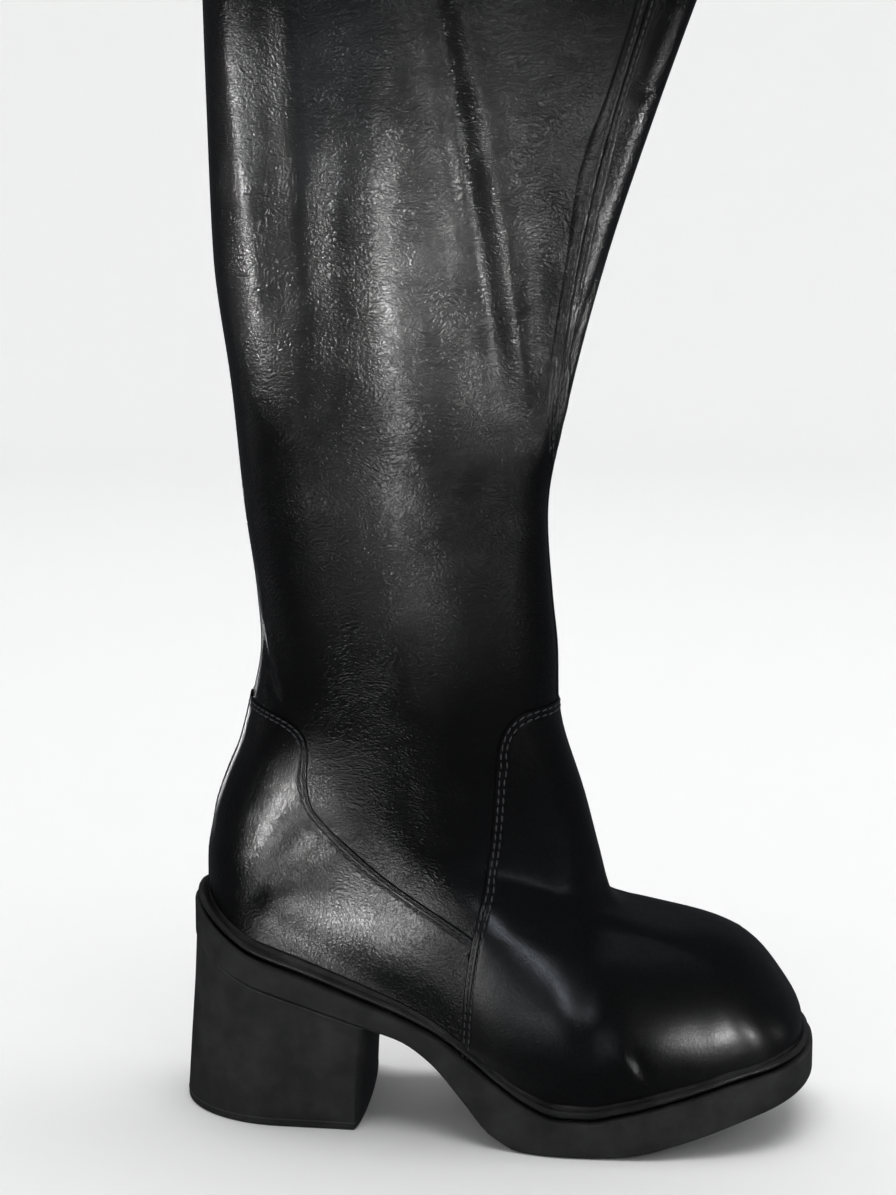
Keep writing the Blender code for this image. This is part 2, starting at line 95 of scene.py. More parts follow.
# %% Rings of the form
RING_COLUMNS = (
    "back_x", "back_z", "z25", "z50", "z75", "front_x", "front_z",
    "w15", "w35", "w55", "w70", "w85", "w100", "swing", "back_round", "front_round",
)
RINGS = (
    (7.0, 107.0, 72.0, 39.5, 30.5, 264.4, 46.5, 29.0, 29.3, 40.0, 43.2, 39.2, 32.0, 1.0, 29, 25),
    (7.0, 112.5, 81.0, 50.0, 41.0, 261.8, 53.5, 31.0, 31.3, 41.0, 45.0, 41.0, 33.5, 1.0, 31, 25),
    (7.7, 118.0, 91.0, 62.0, 52.0, 256.6, 61.0, 32.6, 33.0, 40.6, 44.6, 40.6, 33.0, 1.0, 32, 25),
    (9.3, 125.5, 103.0, 77.0, 66.0, 249.6, 71.5, 33.0, 34.2, 39.6, 41.5, 37.5, 31.0, 1.0, 33, 25),
    (10.4, 133.0, 115.0, 93.0, 78.5, 241.0, 80.3, 32.9, 35.0, 38.6, 37.0, 32.5, 27.0, 1.0, 33, 24),
    (12.7, 141.0, 127.0, 107.5, 89.5, 226.0, 87.2, 32.8, 35.6, 37.6, 32.6, 27.0, 23.0, 0.9, 33, 24),
    (15.2, 148.0, 137.0, 120.5, 101.5, 202.0, 90.4, 32.8, 36.2, 36.6, 31.4, 24.0, 20.5, 0.7, 33, 25),
    (18.0, 155.0, 146.0, 132.0, 114.5, 181.8, 97.6, 32.8, 36.6, 36.0, 31.0, 23.0, 19.5, 0.5, 33, 26),
    (20.6, 161.0, 153.5, 143.0, 129.5, 175.8, 116.0, 33.0, 36.8, 36.0, 31.0, 22.6, 19.5, 0.3, 33, 27),
    (23.0, 169.0, 164.0, 158.0, 150.0, 168.7, 142.0, 33.0, 37.0, 36.2, 31.4, 23.0, 20.0, 0.1, 33, 28),
    (26.2, 183.0, 182.0, 181.0, 180.5, 156.7, 182.0, 33.0, 37.2, 37.0, 33.0, 25.0, 22.0, 0.0, 34, 30),
    (30.2, 206.0, 206.0, 206.0, 206.0, 156.0, 206.0, 33.0, 37.4, 37.6, 33.6, 26.0, 22.5, 0.0, 35, 30),
    (28.6, 229.0, 229.0, 229.0, 229.0, 153.4, 229.0, 33.4, 37.6, 37.6, 33.2, 25.0, 22.0, 0.0, 36, 28),
    (23.6, 265.0, 265.0, 265.0, 265.0, 150.7, 265.0, 34.6, 38.4, 38.0, 32.0, 21.5, 18.5, 0.0, 38, 24),
    (18.6, 315.0, 315.0, 315.0, 315.0, 159.6, 315.0, 36.0, 39.4, 37.8, 29.0, 18.0, 14.5, 0.0, 40, 20),
    (11.4, 370.0, 370.0, 370.0, 370.0, 173.2, 370.0, 36.0, 39.4, 35.8, 25.0, 16.0, 12.0, 0.0, 42, 17),
    (9.3, 430.0, 430.0, 430.0, 430.0, 192.0, 430.0, 34.6, 37.8, 31.0, 21.6, 14.6, 11.0, 0.0, 42, 16),
    (7.6, 495.0, 495.0, 495.0, 495.0, 214.5, 495.0, 33.0, 36.0, 26.0, 19.6, 14.0, 10.5, 0.0, 42, 16),
)
# The sole's middle line: share of its length, and how far it swings to the inner side.
SWING = ((0.0, 0.0), (0.12, 0.0), (0.28, -0.5), (0.38, -2.0), (0.5, -3.0), (0.62, -2.0),
         (0.72, -1.2), (0.84, 0.5), (0.92, 3.5), (1.0, 7.0))
SOLE_LENGTH = 270.0
WIDTHS = ("w15", "w15", "w35", "w55", "w70", "w85", "w100")
WIDTH_SHARES = (0, 0.15, 0.35, 0.55, 0.7, 0.85, 1)
HEIGHTS = ("back_z", "z25", "z50", "z75", "front_z")
HEIGHT_SHARES = (0, 0.25, 0.5, 0.75, 1)
BACK_POWER, FRONT_POWER = 2.15, 2.35


def steady(places, values, at):
    """A curve through points that never swings past them."""
    places, values = np.array(places, float), np.array(values, float)
    at = np.clip(at, places[0], places[-1])
    steps = np.diff(places)
    slopes = np.diff(values) / steps
    below, above = slopes[:-1], slopes[1:]
    run = steps[:-1] + steps[1:]
    bends = below * above > 0
    safe_below, safe_above = np.where(bends, below, 1), np.where(bends, above, 1)
    middle = 3 * run / ((run + steps[1:]) / safe_below + (run + steps[:-1]) / safe_above)
    tangents = np.concatenate([slopes[:1], np.where(bends, middle, 0), slopes[-1:]])
    i = np.clip(np.searchsorted(places, at, side="right") - 1, 0, len(steps) - 1)
    t = (at - places[i]) / steps[i]
    rise = values[i + 1] - values[i]
    bend = t * (1 - t) * steps[i]
    return values[i] + rise * t * t * (3 - 2 * t) + bend * ((1 - t) * tangents[i] - t * tangents[i + 1])


def spline(places, values, at):
    """The smoothest curve through points."""
    places, values = np.array(places, float), np.array(values, float)
    steps = np.diff(places)
    count = len(places)
    system, right = np.eye(count), np.zeros(count)
    slopes = np.diff(values) / steps
    for i in range(1, count - 1):
        system[i, i - 1:i + 2] = steps[i - 1], 2 * (steps[i - 1] + steps[i]), steps[i]
        right[i] = 6 * (slopes[i] - slopes[i - 1])
    bend = np.linalg.solve(system, right)
    i = np.clip(np.searchsorted(places, at, side="right") - 1, 0, count - 2)
    t = at - places[i]
    first = slopes[i] - steps[i] * (2 * bend[i] + bend[i + 1]) / 6
    return values[i] + t * first + t * t * bend[i] / 2 + t**3 * (bend[i + 1] - bend[i]) / (6 * steps[i])


# %% [markdown]
# Each ring is traced from the back along the outer side to the front and home along the inner
# side. Its ends are superellipses, a little squarer than ellipses, and its heights and half
# widths are joined by splines, because gloss shows any kink.

# %% One ring of the form
ROWS = 270
HALF = 124
AROUND = 2 * HALF
END_PART = 30


def soften(values, times):
    """Even out a row of numbers without moving its ends."""
    values = values.copy()
    for _ in range(times):
        values[1:-1] = (values[:-2] + 2 * values[1:-1] + values[2:]) / 4
    return values


def end_curve(power):
    """A rounded end: how far in along the boot, and what share of the width."""
    turn = np.linspace(0, np.pi / 2, END_PART + 1)
    return 1 - np.cos(turn) ** (2 / power), np.sin(turn) ** (2 / power)


def outline(back, front, back_round, front_round, powers, half_at, middle_at):
    """A closed ring seen from above, with rounded ends, as x and y."""
    back_in, back_share = end_curve(powers[0])
    front_in, front_share = end_curve(powers[1])
    start = back + back_round * back_in
    stop = (front - front_round * front_in)[::-1]
    side = np.linspace(start[-1], stop[0], HALF - 2 * END_PART + 1)[1:-1]
    x = np.concatenate([start, side, stop])
    share = np.concatenate([back_share, np.ones(len(side)), front_share[::-1]])
    half, middle = half_at(x) * share, middle_at(x)
    outer = np.stack([x, middle - half], axis=1)
    inner = np.stack([x, middle + half], axis=1)
    return np.concatenate([outer, inner[-2:0:-1]])


def middle_line(x):
    """Where the sole's middle line is at each x."""
    places, values = zip(*SWING)
    return steady(places, values, x / SOLE_LENGTH)


def one_ring(row):
    """A closed ring of drafted places."""
    run = row["front_x"] - row["back_x"]

    def along(x):
        return (x - row["back_x"]) / run

    plan = outline(
        row["back_x"], row["front_x"], row["back_round"], row["front_round"],
        (BACK_POWER, FRONT_POWER),
        lambda x: spline(WIDTH_SHARES, [row[name] for name in WIDTHS], along(x)),
        lambda x: row["swing"] * middle_line(x),
    )
    height = spline(HEIGHT_SHARES, [row[name] for name in HEIGHTS], along(plan[:, 0]))
    return np.column_stack([plan, height])


# %% [markdown]
# The leather is lasted: its edge is pulled under and glued to the sole's seat, behind a bead. The
# sole's heights and the bead's inset are one table, by share of its length, and the form's first
# few rings go down to the seat.

# %% The sole's heights
SOLE_COLUMNS = ("share", "under", "seat", "bead", "lip", "bead_in", "rim")
SOLE = (
    (0.00, 77.0, 84.2, 98.0, 101.4, 1.6, 93.4), (0.03, 72.4, 81.5, 92.2, 95.2, 1.7, 87.7),
    (0.06, 68.0, 78.7, 86.6, 88.8, 1.9, 82.2), (0.10, 62.7, 75.0, 80.4, 82.0, 2.0, 76.0),
    (0.20, 53.5, 65.7, 70.4, 71.2, 2.2, 65.7), (0.30, 44.9, 55.3, 59.9, 60.3, 2.2, 55.3),
    (0.35, 41.2, 50.5, 55.0, 55.3, 2.2, 50.5), (0.40, 32.6, 44.5, 49.0, 49.2, 2.2, 44.5),
    (0.45, 19.0, 36.4, 40.9, 41.0, 2.2, 36.4), (0.50, 5.2, 27.1, 31.5, 31.6, 2.2, 27.1),
    (0.55, 0.0, 18.9, 23.3, 23.4, 2.2, 18.9), (0.60, 0.0, 14.6, 19.0, 19.1, 2.2, 14.6),
    (0.65, 0.0, 14.4, 18.8, 18.9, 2.2, 14.4), (0.70, 0.8, 17.2, 21.6, 21.7, 2.2, 17.2),
    (0.80, 6.8, 24.4, 28.8, 28.9, 2.2, 24.4), (0.90, 15.6, 32.2, 36.6, 36.7, 2.2, 32.2),
    (1.00, 23.4, 36.6, 41.0, 41.1, 2.2, 36.6),
)


def reading(rows, columns, name, at):
    """A column of a table, read smoothly."""
    rows = np.array(rows)
    return steady(rows[:, 0], rows[:, columns.index(name)], at)


def sole_at(name, x):
    """A height or inset of the sole at each x."""
    return reading(SOLE, SOLE_COLUMNS, name, np.clip(x, 0, SOLE_LENGTH) / SOLE_LENGTH)


# %% The form as a fine grid
LASTED = 9
OVER_SEAT = 0.3
ROW_EVENING = 6
FOOT_EVENING, FOOT_ROWS = 8, 30
table = {name: np.array([ring[i] for ring in RINGS]) for i, name in enumerate(RING_COLUMNS)}
back_steps = np.hypot(np.diff(table["back_x"]), np.diff(table["back_z"]))
front_steps = np.hypot(np.diff(table["front_x"]), np.diff(table["front_z"]))
levels = np.concatenate([[0], np.cumsum((back_steps + front_steps) / 2)])
fine_levels = np.linspace(0, levels[-1], ROWS)
fine = {name: steady(levels, table[name], fine_levels) for name in RING_COLUMNS}
fine = {name: soften(values, ROW_EVENING) for name, values in fine.items()}
form = np.array([one_ring({name: fine[name][k] for name in RING_COLUMNS}) for k in range(ROWS)])
ROW_PITCH = levels[-1] / (ROWS - 1)
lasted = form[0] * (1, 1, 0) + np.outer(sole_at("seat", form[0, :, 0]) + OVER_SEAT, (0, 0, 1))
shares = np.arange(LASTED)[:, None, None] / LASTED
form = np.concatenate([lasted + (form[0] - lasted) * shares, form])
for _ in range(FOOT_EVENING):
    form[1:FOOT_ROWS] = (form[:FOOT_ROWS - 1] + 2 * form[1:FOOT_ROWS] + form[2:FOOT_ROWS + 1]) / 4
ROWS = len(form)
print("form:", ROWS, "rings of", AROUND, "places,", round(levels[-1]), "mm up the boot")

# %% [markdown]
# ## Folds
# A soft shaft never stands like a tube. It has collapsed a little in front, so a flat wedge
# stands before a rounded leg with one deep trough between them, and slacker folds run down the
# sides. They are the biggest part of how this boot looks, so each is listed: a line seen
# from the side, how wide it is (towards the heel and the toe, if they differ), and how far the
# leather stands out (+) or sinks (-) along it. A deep fold has a sharper bottom than a slack one.

# %% Folds, one by one
FOLDS = (  # side, width, rise, and the line as places along the boot and up it
    # the outer side of the shaft
    (OUTER, 5.0, 0.8, ((17, 540), (20, 471), (27, 413), (34, 350), (38, 300))),
    (OUTER, 7.0, -0.6, ((36, 560), (39, 471), (42, 413), (47, 350), (50, 300))),
    (OUTER, 7.0, 0.3, ((50, 560), (50, 471), (52, 413), (56, 360))),
    (OUTER, 8.0, -0.9, ((78, 560), (74, 440), (68, 398), (67, 355), (66, 300))),
    (OUTER, 12.0, 0.5, ((84, 440), (90, 372), (93, 300), (96, 225))),
    (OUTER, 5.0, -1.0, ((94, 520), (101, 471), (107, 437), (112, 402), (117, 360))),
    (OUTER, 5.0, 1.6,
     ((99, 520), (106, 471), (113, 437), (118.5, 402), (124, 371), (129, 343), (134, 300))),
    (OUTER, (8.5, 22.0), -6.0,
     ((103, 560), (116, 471), (125.5, 433), (132, 402), (137, 371), (142, 339), (147, 306), (152, 262))),
    (OUTER, 6.5, 0.8, ((138, 426), (154, 437), (170, 446), (184, 460))),
    (OUTER, 6.0, -0.6, ((144, 414), (158, 420), (180, 432))),
    (OUTER, 6.0, 0.7, ((148, 406), (158, 398), (172, 380))),
    (OUTER, 5.0, 0.6, ((152, 382), (156, 362), (156, 330))),
    (OUTER, 2.2, -1.0, ((178, 435), (190, 438), (204, 444))),
    (OUTER, 12.0, -0.7, ((98, 300), (106, 250), (112, 215), (116, 185))),
    (OUTER, 10.0, 0.5, ((78, 290), (84, 250), (86, 215))),
    # the ankle, where the shaft sags over the counter
    (OUTER, 2.4, -1.3, ((29, 222), (33, 206), (39, 191), (42, 184))),
    (OUTER, 2.2, 0.7, ((34, 222), (38, 206), (44, 191), (48, 184))),
    # the counter's dent and the vamp's bending folds
    (OUTER, 7.5, -2.2, ((22, 92), (36, 110), (48, 122), (64, 142))),
    (OUTER, 10.0, -1.7, ((182, 118), (180, 101), (177, 77), (177, 52), (181, 30))),
    (OUTER, 1.3, -0.5, ((192, 103), (198, 99), (203, 94), (207, 87))),
    (OUTER, 4.0, 0.7, ((204, 97), (220, 93), (235, 87), (246, 79))),
    (OUTER, 2.2, 0.6, ((186, 46), (191, 39), (197, 30))),
    (OUTER, 2.0, -0.5, ((192, 48), (196, 41), (202, 32))),
    # the inner side of the shaft
    (INNER, 6.0, -1.6, ((40, 560), (43, 471), (48, 400), (56, 330), (60, 280))),
    (INNER, 8.0, 1.2, ((62, 540), (66, 440), (70, 360), (72, 290))),
    (INNER, 5.0, -5.5, ((106, 560), (120, 471), (129, 420), (137, 371), (146, 310), (152, 268))),
    (INNER, 5.0, 1.2, ((98, 540), (110, 450), (122, 380), (130, 320))),
    (INNER, 5.0, -0.9, ((60, 214), (80, 206), (104, 208))),
    (INNER, 5.0, 0.8, ((56, 224), (80, 217), (108, 220))),
    (INNER, 6.5, -2.0, ((180, 118), (182, 101), (184, 77), (190, 52))),
)
FOLD_TAPER = 0.26
DEEP_FOLD, DEEP_SHARPNESS = -3, 1.4
SIDE_EDGE = 2.5


def outward(points):
    """Outward normals of a grid of rings."""
    around = np.roll(points, -1, axis=1) - np.roll(points, 1, axis=1)
    up = np.gradient(points, axis=0)
    normals = np.cross(around, up)
    return normals / np.linalg.norm(normals, axis=2, keepdims=True)


def along_line(places, line):
    """How far each place is from a line seen from the side, and how far along it, 0 to 1."""
    line = np.array(line, float)
    runs = np.diff(line, axis=0)
    lengths = np.hypot(runs[:, 0], runs[:, 1])
    starts = np.concatenate([[0], np.cumsum(lengths)])
    nearest = np.full(places.shape[:-1], np.inf)
    share = np.zeros(places.shape[:-1])
    for start, run, length, done in zip(line, runs, lengths, starts):
        away = places[..., [0, 2]] - start
        t = np.clip((away @ run) / length**2, 0, 1)
        distance = np.linalg.norm(away - t[..., None] * run, axis=-1)
        share = np.where(distance < nearest, (done + t * length) / starts[-1], share)
        nearest = np.minimum(nearest, distance)
    return nearest, share


def ease(values):
    """A soft step from 0 to 1."""
    values = np.clip(values, 0, 1)
    return values * values * (3 - 2 * values)


facing = outward(form)[..., 1]
relief = np.zeros(form.shape[:2])
for side, width, rise, line in FOLDS:
    distance, share = along_line(form, line)
    fade = ease(share / FOLD_TAPER) * ease((1 - share) / FOLD_TAPER) * ease(side * facing * SIDE_EDGE)
    if np.ndim(width):
        heelwards = form[..., 0] < np.interp(form[..., 2], *np.array(line)[::-1, ::-1].T)
        width = np.where(heelwards, width[0], width[1])
    if rise < DEEP_FOLD:
        section = 1 / np.cosh(distance / width * DEEP_SHARPNESS)
    else:
        section = np.exp(-((distance / width) ** 2))
    relief += rise * section * fade
form = metres(form + relief[..., None] * outward(form))
normals = outward(form)
print("folds:", len(FOLDS), "deepest", round(relief.min(), 1), "mm, highest", round(relief.max(), 1), "mm")

# %% [markdown]
# ## Finding places on the form
# A row number and a column number name a place on the form, and FRONT is the column of its
# front. One helper reads the form smoothly between its grid lines, one finds the row and column
# of a place seen from the side, one rounds the corners of a drawn line, and one spreads points.

# %% Places on the form
FRONT = HALF


def weights(t):
    """A smooth share of four neighbours."""
    return (
        (-t + 2 * t**2 - t**3) / 2, (2 - 5 * t**2 + 3 * t**3) / 2,
        (t + 4 * t**2 - 3 * t**3) / 2, (t**3 - t**2) / 2,
    )


def read_form(rows, columns, lift=0.0):
    """Points and outward normals at rows and columns of the form, raised by a lift in metres."""
    rows, columns = np.broadcast_arrays(np.asarray(rows, float), np.asarray(columns, float))
    row, column = np.floor(rows).astype(int), np.floor(columns).astype(int)
    points, out = 0, 0
    for a, share_a in enumerate(weights(rows - row)):
        i = np.clip(row + a - 1, 0, ROWS - 1)
        for b, share_b in enumerate(weights(columns - column)):
            j = (column + b - 1) % AROUND
            share = (share_a * share_b)[..., None]
            points = points + share * form[i, j]
            out = out + share * normals[i, j]
    out = out / np.linalg.norm(out, axis=-1, keepdims=True)
    return points + out * np.asarray(lift)[..., None], out


def find(places):
    """Rows and columns, on the outer side, of places seen from the side."""
    target = np.array(places, float)
    goal = (target - MIDDLE[[0, 2]]) * MM
    side = form[:, :HALF + 1][..., [0, 2]]
    found = []
    for spot in goal:
        k = np.argmin(((side - spot) ** 2).sum(axis=-1))
        guess = np.array(divmod(k, HALF + 1), float)
        for _ in range(6):
            step = 0.5
            here, more, beside = (
                read_form(guess[0] + a, guess[1] + b)[0][[0, 2]]
                for a, b in ((0, 0), (step, 0), (0, step)))
            slope = np.stack([more - here, beside - here], axis=1) / step
            move = np.linalg.lstsq(slope, spot - here, rcond=1e-3)[0]
            guess = guess + np.clip(move, -3, 3)
            guess = np.clip(guess, [0, 0], [ROWS - 1, HALF])
        found.append(guess)
    return np.array(found)


def round_corners(line, times=3):
    """A drawn line with its corners cut again and again."""
    line = np.array(line, float)
    for _ in range(times):
        near, far = 0.75 * line[:-1] + 0.25 * line[1:], 0.25 * line[:-1] + 0.75 * line[1:]
        middle = np.stack([near, far], axis=1).reshape(-1, line.shape[1])
        line = np.concatenate([line[:1], middle, line[-1:]])
    return line


def spread(line, places, count=None, shares=None):
    """Points of a line at even distances, or at given shares, measured along its places."""
    done = np.concatenate([[0], np.cumsum(np.linalg.norm(np.diff(places, axis=0), axis=1))])
    shares = np.linspace(0, 1, count) if shares is None else shares
    wanted = np.asarray(shares) * done[-1]
    return np.stack([np.interp(wanted, done, line[:, k]) for k in range(line.shape[1])], axis=1)


for name, row in (("toe tip", 0), ("collar's front", ROWS - 1)):
    print(name, np.round(drafted(read_form(row, FRONT)[0]), 1))

# %% [markdown]
# ## Shader words
# Leather, thread and rubber differ in small patterns, and a pattern is mostly sums. This small
# class wraps a socket, so that a sum written in Python adds its Math nodes, and one method adds
# any other node. It keeps each finish short enough to read.

# %% A socket that can be reckoned with
class Wire:
    """A socket of a material; arithmetic on it adds Math nodes."""

    def __init__(self, tree, socket=None):
        self.tree = tree
        self.socket = socket

    def node(self, kind, settings=None, inputs=None, output=0):
        """Add a node of a kind, set it up, fill its inputs and return one of its outputs."""
        new = self.tree.nodes.new("ShaderNode" + kind)
        for name, value in (settings or {}).items():
            setattr(new, name, value)
        for name, value in (inputs or {}).items():
            if isinstance(value, Wire):
                self.tree.links.new(value.socket, new.inputs[name])
            else:
                new.inputs[name].default_value = value
        return Wire(self.tree, new.outputs[output])

    def maths(self, operation, *values):
        return self.node("Math", {"operation": operation}, dict(enumerate(values)))

    def __add__(self, other):
        return self.maths("ADD", self, other)

    def __radd__(self, other):
        return self.maths("ADD", other, self)

    def __sub__(self, other):
        return self.maths("SUBTRACT", self, other)

    def __rsub__(self, other):
        return self.maths("SUBTRACT", other, self)

    def __mul__(self, other):
        return self.maths("MULTIPLY", self, other)

    def __rmul__(self, other):
        return self.maths("MULTIPLY", other, self)

    def step(self, low, high):
        """0 below one value, 1 above the other, and smooth between."""
        return self.node("MapRange", {"interpolation_type": "SMOOTHSTEP"},
                         {"Value": self, "From Min": low, "From Max": high})


# %% [markdown]
# Each finish is drawn on Object coordinates, turned into millimetres, so that a pattern's sizes
# can be written as a maker measures them. A pattern is stretched by dividing its place by three
# sizes, along the boot, across it and up. Every height goes through one Bump node, and every
# colour is a mix of two tones.

# %% What every finish is made of
class Finish:
    """A material being made: its patterns and what they feed."""

    def __init__(self, name, roughness, **constants):
        self.look = bpy.data.materials.new(name)
        self.look.use_nodes = True
        self.shader = self.look.node_tree.nodes["Principled BSDF"]
        self.shader.inputs["Roughness"].default_value = roughness
        for socket, value in constants.items():
            self.shader.inputs[socket.replace("_", " ")].default_value = value
        self.start = Wire(self.look.node_tree)
        spot = self.start.node("TexCoord", output=3)
        self.place = self.vectors("SCALE", {0: spot, "Scale": 1 / MM})

    def vectors(self, operation, inputs):
        return self.start.node("VectorMath", {"operation": operation}, inputs)

    def pattern(self, kind, sizes, settings=None, place=None, output=0, **inputs):
        """A texture whose features have the given sizes in millimetres."""
        scale = tuple(1 / size for size in np.broadcast_to(sizes, 3))
        spot = self.start.node("Mapping", {}, {"Vector": place or self.place, "Scale": scale})
        return self.start.node("Tex" + kind, settings, {"Vector": spot, "Scale": 1.0, **inputs}, output)

    def noise(self, sizes, detail=2.0, rough=0.5, place=None, output=0):
        return self.pattern("Noise", sizes, None, place, output, Detail=detail, Roughness=rough)

    def feed(self, name, wire):
        self.start.tree.links.new(wire.socket, self.shader.inputs[name])

    def feed_tone(self, dark, light, share):
        """Colour the surface between two colours."""
        self.feed("Base Color", self.start.node(
            "Mix", {"data_type": "RGBA"},
            {"Factor": share, "A": (*dark, 1), "B": (*light, 1)}, output=2))

    def feed_height(self, height, strength=1.0):
        """Raise the surface by a height in millimetres."""
        self.feed("Normal", self.start.node(
            "Bump", {}, {"Strength": strength, "Distance": MM, "Height": height}))


# %% [markdown]
# ## Leather
# Corrected-grain leather has a glossy coat over pebbles about a millimetre and a half across,
# which pull out into wrinkles twice as long. Up the shaft these lie level and run across its
# folds, so the pattern is flattened in height, and its place is pushed about by a slow noise.
# Round the heel they stand upright, and over the toe, where the leather is lasted tight, they all
# but vanish. Between the pebbles the coat is thin and duller, and slow waves under it break up a
# gleam that would be too clean.

# %% The leather's finish
WRINKLE_SIZE, PEBBLE_SIZE, DRIFT = 3.4, 1.7, 14.0
PLATEAU = (0.0, 0.055)


def leather(name, pebble, wrinkle, roughness, size, flat, gloss, sag):
    """Glossy black leather: the heights in millimetres of its pebbles, wrinkles and waves."""
    made = Finish(name, roughness, Coat_Roughness=roughness)
    drift = made.noise(24, 1.0, output=1)
    push = made.vectors("SCALE", {0: drift, "Scale": DRIFT})
    pushed = made.vectors("ADD", {0: made.place, 1: push})
    wide, fine = WRINKLE_SIZE * size, PEBBLE_SIZE * size
    long = made.noise((wide, wide, wide * flat), 1.5, place=pushed)
    short = made.noise((fine, fine, fine * flat**0.5), 1.0, place=pushed)
    creases = made.start.maths("ABSOLUTE", long - 0.5)
    pebbles = made.start.maths("ABSOLUTE", short - 0.5)
    patches = made.noise((34, 34, 22))
    waves = made.noise((15, 15, 24), 1.5, 0.45)
    where = patches.step(0.35, 0.65) * 0.6 + 0.4
    made.feed_height(creases * where * wrinkle + pebbles * pebble + waves * sag)
    plateaus = creases.step(*PLATEAU) * 0.55 + pebbles.step(*PLATEAU) * 0.45
    made.feed("Coat Weight", plateaus * gloss)
    made.feed("Roughness", roughness + 0.05 - plateaus * 0.06)
    made.feed_tone((0.0012, 0.0012, 0.0013), (0.0028, 0.0028, 0.0031), patches)
    return made.look


shaft_leather = leather("shaft_leather", pebble=0.38, wrinkle=0.74, roughness=0.29,
                        size=0.92, flat=0.48, gloss=0.1, sag=0.45)
heel_leather = leather("heel_leather", pebble=0.36, wrinkle=0.38, roughness=0.29,
                       size=0.72, flat=1.7, gloss=0.15, sag=0.4)
toe_leather = leather("toe_leather", pebble=0.08, wrinkle=0.10, roughness=0.285,
                      size=0.7, flat=1.0, gloss=0.3, sag=0.6)
print("finishes:", shaft_leather.name, heel_leather.name, toe_leather.name)

# %% [markdown]
# ## Rubber, thread and lining
# The sole is cut from dark, dull rubber: a fine tooth, faint mottling, a few scuffs and specks of
# dust. The bead is smoother and catches light, the rand is rough with old glue, and the flash
# left by the mould is paler. Thread has a twist, and its grey is a painted sheen, far paler than
# black thread. Cloth and board have ribs and a nap.

# %% Rubber
def rubber(name, dark, light, roughness, tooth, dust, gloss):
    """Black rubber between two greys, with its tooth in millimetres and its share of dust."""
    made = Finish(name, roughness, Specular_IOR_Level=gloss)
    clouds = made.noise(16, 4.0, 0.6)
    fine = made.noise(0.45, 2.0, 0.6)
    scratches = made.noise((14.0, 14.0, 0.55), 3.0, 0.65)
    specks = made.pattern("Voronoi", 2.6)
    here = made.noise(9, 1.0).step(0.5, 0.62)
    speck = (1 - specks.step(0.04, 0.1)) * here
    scuff = scratches.step(0.62, 0.8) * clouds.step(0.42, 0.7)
    share = clouds.step(0.3, 0.75) * 0.55 + fine * 0.25 + scuff * 0.35 + speck * dust
    made.feed_tone(dark, light, share)
    made.feed("Roughness", roughness + fine * 0.12 - scuff * 0.06)
    made.feed_height(fine * tooth + clouds * (tooth * 0.8) - scuff * (tooth * 0.6))
    return made.look


sole_rubber = rubber("sole_rubber", (0.015, 0.0151, 0.0155), (0.044, 0.0442, 0.045),
                     roughness=0.62, tooth=0.06, dust=2.4, gloss=0.25)
bead_rubber = rubber("bead_rubber", (0.009, 0.009, 0.0094), (0.036, 0.036, 0.037),
                     roughness=0.3, tooth=0.05, dust=1.0, gloss=0.5)
rand_rubber = rubber("rand_rubber", (0.004, 0.004, 0.0042), (0.05, 0.05, 0.051),
                     roughness=0.6, tooth=0.22, dust=3.0, gloss=0.3)
flash_rubber = rubber("flash_rubber", (0.03, 0.03, 0.031), (0.08, 0.08, 0.083),
                      roughness=0.6, tooth=0.05, dust=0.5, gloss=0.3)


# %% Thread, lining cloth and insole board
def thread_look(name, dark, light):
    made = Finish(name, 0.38)
    twist = made.pattern("Wave", 0.55, {"bands_direction": "DIAGONAL"}, Distortion=0.5)
    made.feed_tone(dark, light, twist)
    made.feed_height(twist * 0.06)
    return made.look


def ribbed_look(name, dark, light):
    made = Finish(name, 0.9)
    rib = made.pattern("Wave", 3, {"bands_direction": "Z"})
    nap = made.noise(0.6, 3.0)
    made.feed_tone(dark, light, rib * 0.3 + nap * 0.7)
    made.feed_height(rib * 0.12 + nap * 0.1, strength=0.6)
    return made.look


# Painted sheen: the thread is black, but both its tones are grey so that it looks lit.
sheen_painted_thread = thread_look("sheen_painted_thread", (0.028, 0.028, 0.03), (0.085, 0.085, 0.09))
lining_cloth = ribbed_look("lining_cloth", (0.02, 0.02, 0.021), (0.05, 0.05, 0.052))
insole_board = ribbed_look("insole_board", (0.03, 0.029, 0.028), (0.075, 0.072, 0.068))
print("finishes:", len(bpy.data.materials))

# %% [markdown]
# ## Laying leather on the form
# Every leather part starts as a flat grid, like a cut sheet, and is laid on the form row by row.
# Sewing the sheet round a tube of rings would be the same shape, but a sheet has its own edges,
# which is where a real part is skived, folded and stitched.

# %% Cutting and laying a sheet
WELD = 0.000004


def cut_sheet(name, across, up):
    """A flat grid, and each corner's share across it and up it."""
    bpy.ops.object.select_all(action="DESELECT")
    bpy.ops.mesh.primitive_grid_add(x_subdivisions=across, y_subdivisions=up, size=1)
    sheet = bpy.context.object
    sheet.name = name
    flat = np.empty(len(sheet.data.vertices) * 3)
    sheet.data.vertices.foreach_get("co", flat)
    flat = flat.reshape(-1, 3)
    return sheet, flat[:, 0] + 0.5, flat[:, 1] + 0.5


def lay(sheet, points, closed=False):
    """Put every corner of a sheet at its place, and close a sheet that meets itself."""
    sheet.data.vertices.foreach_set("co", np.ascontiguousarray(points, float).ravel())
    sheet.data.update()
    bpy.ops.object.shade_smooth()
    if closed:
        on_all(sheet, bpy.ops.mesh.remove_doubles, threshold=WELD)
        on_all(sheet, bpy.ops.mesh.normals_make_consistent, inside=False)


